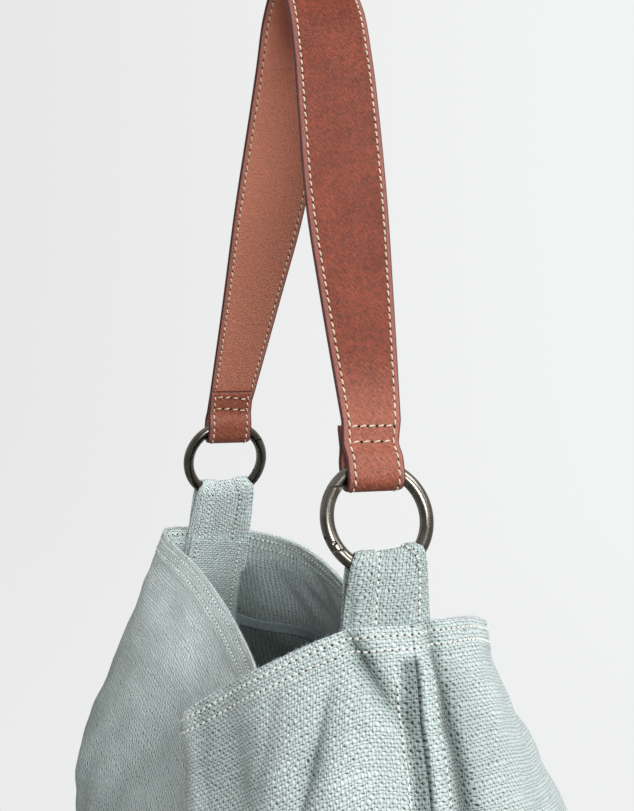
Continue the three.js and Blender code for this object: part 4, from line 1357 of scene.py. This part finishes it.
IMAGE_WIDTH, IMAGE_HEIGHT, SENSOR = 634, 811, 36.0
CAMERA_PLACE, CAMERA_FOCAL = (0.66202, -0.21831, -0.16945), 1349.32
CAMERA_TURN, CAMERA_PITCH = math.radians(71.53), math.radians(3.54)
FLOOR_Z, STAGE_RADIUS, STAGE_COVE, STAGE_HEIGHT = -0.85, 5.0, 1.6, 4.2
CLIP_START = 0.01
STAGE_HOLE, COVE_STEPS, STAGE_SIDES, STAGE_SPAN = 0.02, 14, 96, (-1.3, 1.1)
BAG_MIDDLE = Vector((0.0, 0.0, -0.33))
LAMP_COLOUR = (0.97, 0.985, 1.0)
LIGHTS = {
    "key": {"way": (0.58, 0.42, 0.7), "distance": 3.0, "size": 1.3, "power": 55},
    "front": {"way": (0.2, 1.0, 0.26), "distance": 4.5, "size": 1.8, "power": 142},
}
SKY_DIM, SKY_BRIGHT, SKY_UP, SKY_BEHIND, SKY_SPAN = 0.2, 0.66, 0.6, 0.8, (-0.5, 0.8)


def camera_ways():
    """Right, up and back of the camera."""
    back = Vector((math.sin(CAMERA_TURN) * math.cos(CAMERA_PITCH),
                   -math.cos(CAMERA_TURN) * math.cos(CAMERA_PITCH), math.sin(CAMERA_PITCH)))
    right = Vector((math.cos(CAMERA_TURN), math.sin(CAMERA_TURN), 0.0))
    return right, back.cross(right), back


def make_camera():
    """Camera where the photograph was taken from."""
    right, up, back = camera_ways()
    data = bpy.data.cameras.new("camera")
    data.sensor_width = SENSOR
    data.lens = CAMERA_FOCAL * SENSOR / max(IMAGE_WIDTH, IMAGE_HEIGHT)
    data.clip_start = CLIP_START
    camera = add_object("camera", data)
    camera.matrix_world = Matrix.Translation(CAMERA_PLACE) @ Matrix((right, up, back)).transposed().to_4x4()
    bpy.context.scene.camera = camera


def make_light(name, way, distance, size, power):
    """Soft square light at a distance from the bag, on a way given as right, towards the camera and up."""
    right, _, back = camera_ways()
    flat_back = Vector((back.x, back.y, 0)).normalized()
    direction = (right * way[0] + flat_back * way[1] + Vector((0, 0, way[2]))).normalized()
    data = bpy.data.lights.new(name, "AREA")
    data.shape = "SQUARE"
    data.size = size
    data.energy = power
    data.color = LAMP_COLOUR
    light = add_object(name, data)
    light.location = BAG_MIDDLE + direction * distance
    light.rotation_mode = "QUATERNION"
    light.rotation_quaternion = direction.to_track_quat("Z", "Y")


def make_stage():
    """Round pale studio: a floor that curves up into a wall all round."""
    angle = np.linspace(0, math.pi / 2, COVE_STEPS)
    cove = STAGE_RADIUS - STAGE_COVE + STAGE_COVE * np.sin(angle)
    radius = np.concatenate([[STAGE_HOLE], cove, [STAGE_RADIUS]])
    height = np.concatenate([[0.0], STAGE_COVE * (1 - np.cos(angle)), [STAGE_HEIGHT]]) + FLOOR_Z
    turn = np.linspace(0, 2 * math.pi, STAGE_SIDES, endpoint=False)
    points = np.stack([np.outer(radius, np.cos(turn)), np.outer(radius, np.sin(turn)),
                       np.repeat(height[:, None], len(turn), 1)], -1)
    index = np.arange(points.shape[0] * len(turn)).reshape(points.shape[0], len(turn))
    faces = round_faces(index) + [index[0, ::-1].tolist()]
    studio = mesh_object("studio", points.reshape(-1, 3), faces)
    studio.data.shade_smooth()
    studio.data.materials.append(stage_finish(camera_ways()[0]))
    studio.visible_diffuse = False
    studio.visible_glossy = False
    studio.visible_shadow = False


def make_sky(dim, bright):
    """Soft light from all round, brightest from above and behind the bag, so the rings have pale rims."""
    _, up, back = camera_ways()
    world = bpy.data.worlds.new("soft_sky")
    world.use_nodes = True
    nodes, links = world.node_tree.nodes, world.node_tree.links
    along = nodes.new("ShaderNodeVectorMath")
    along.operation = "DOT_PRODUCT"
    along.inputs[1].default_value = (SKY_UP * up - SKY_BEHIND * back)[:]
    links.new(nodes.new("ShaderNodeTexCoord").outputs["Generated"], along.inputs[0])
    share = nodes.new("ShaderNodeMapRange")
    links.new(along.outputs["Value"], share.inputs["Value"])
    sockets = ("From Min", "From Max", "To Min", "To Max")
    for name, value in zip(sockets, (*SKY_SPAN, dim, bright)):
        share.inputs[name].default_value = value
    background = nodes["Background"]
    background.inputs["Color"].default_value = (1.0, 1.0, 1.0, 1.0)
    links.new(share.outputs[0], background.inputs["Strength"])
    bpy.context.scene.world = world


# Everything together

make_camera()
make_stage()
make_sky(SKY_DIM, SKY_BRIGHT)
for name, light in LIGHTS.items():
    make_light(name, **light)
bpy.context.scene.view_settings.view_transform = "Standard"

for key, side in ENDS.items():
    ring_and_gate(key, side["end"])
    tab("cloth_tab_" + key, "tab_" + key, **side)
    facing("facing_strip_" + key, "facing_" + key, side["seam"])
strap()
tape_front = tape("tape_front", "binding_front", -1)
tape_back = tape("tape_back", "binding_back", 1)
bag_panel("bag_front", "panel_front", -1)
bag_panel("bag_back", "panel_back", 1)
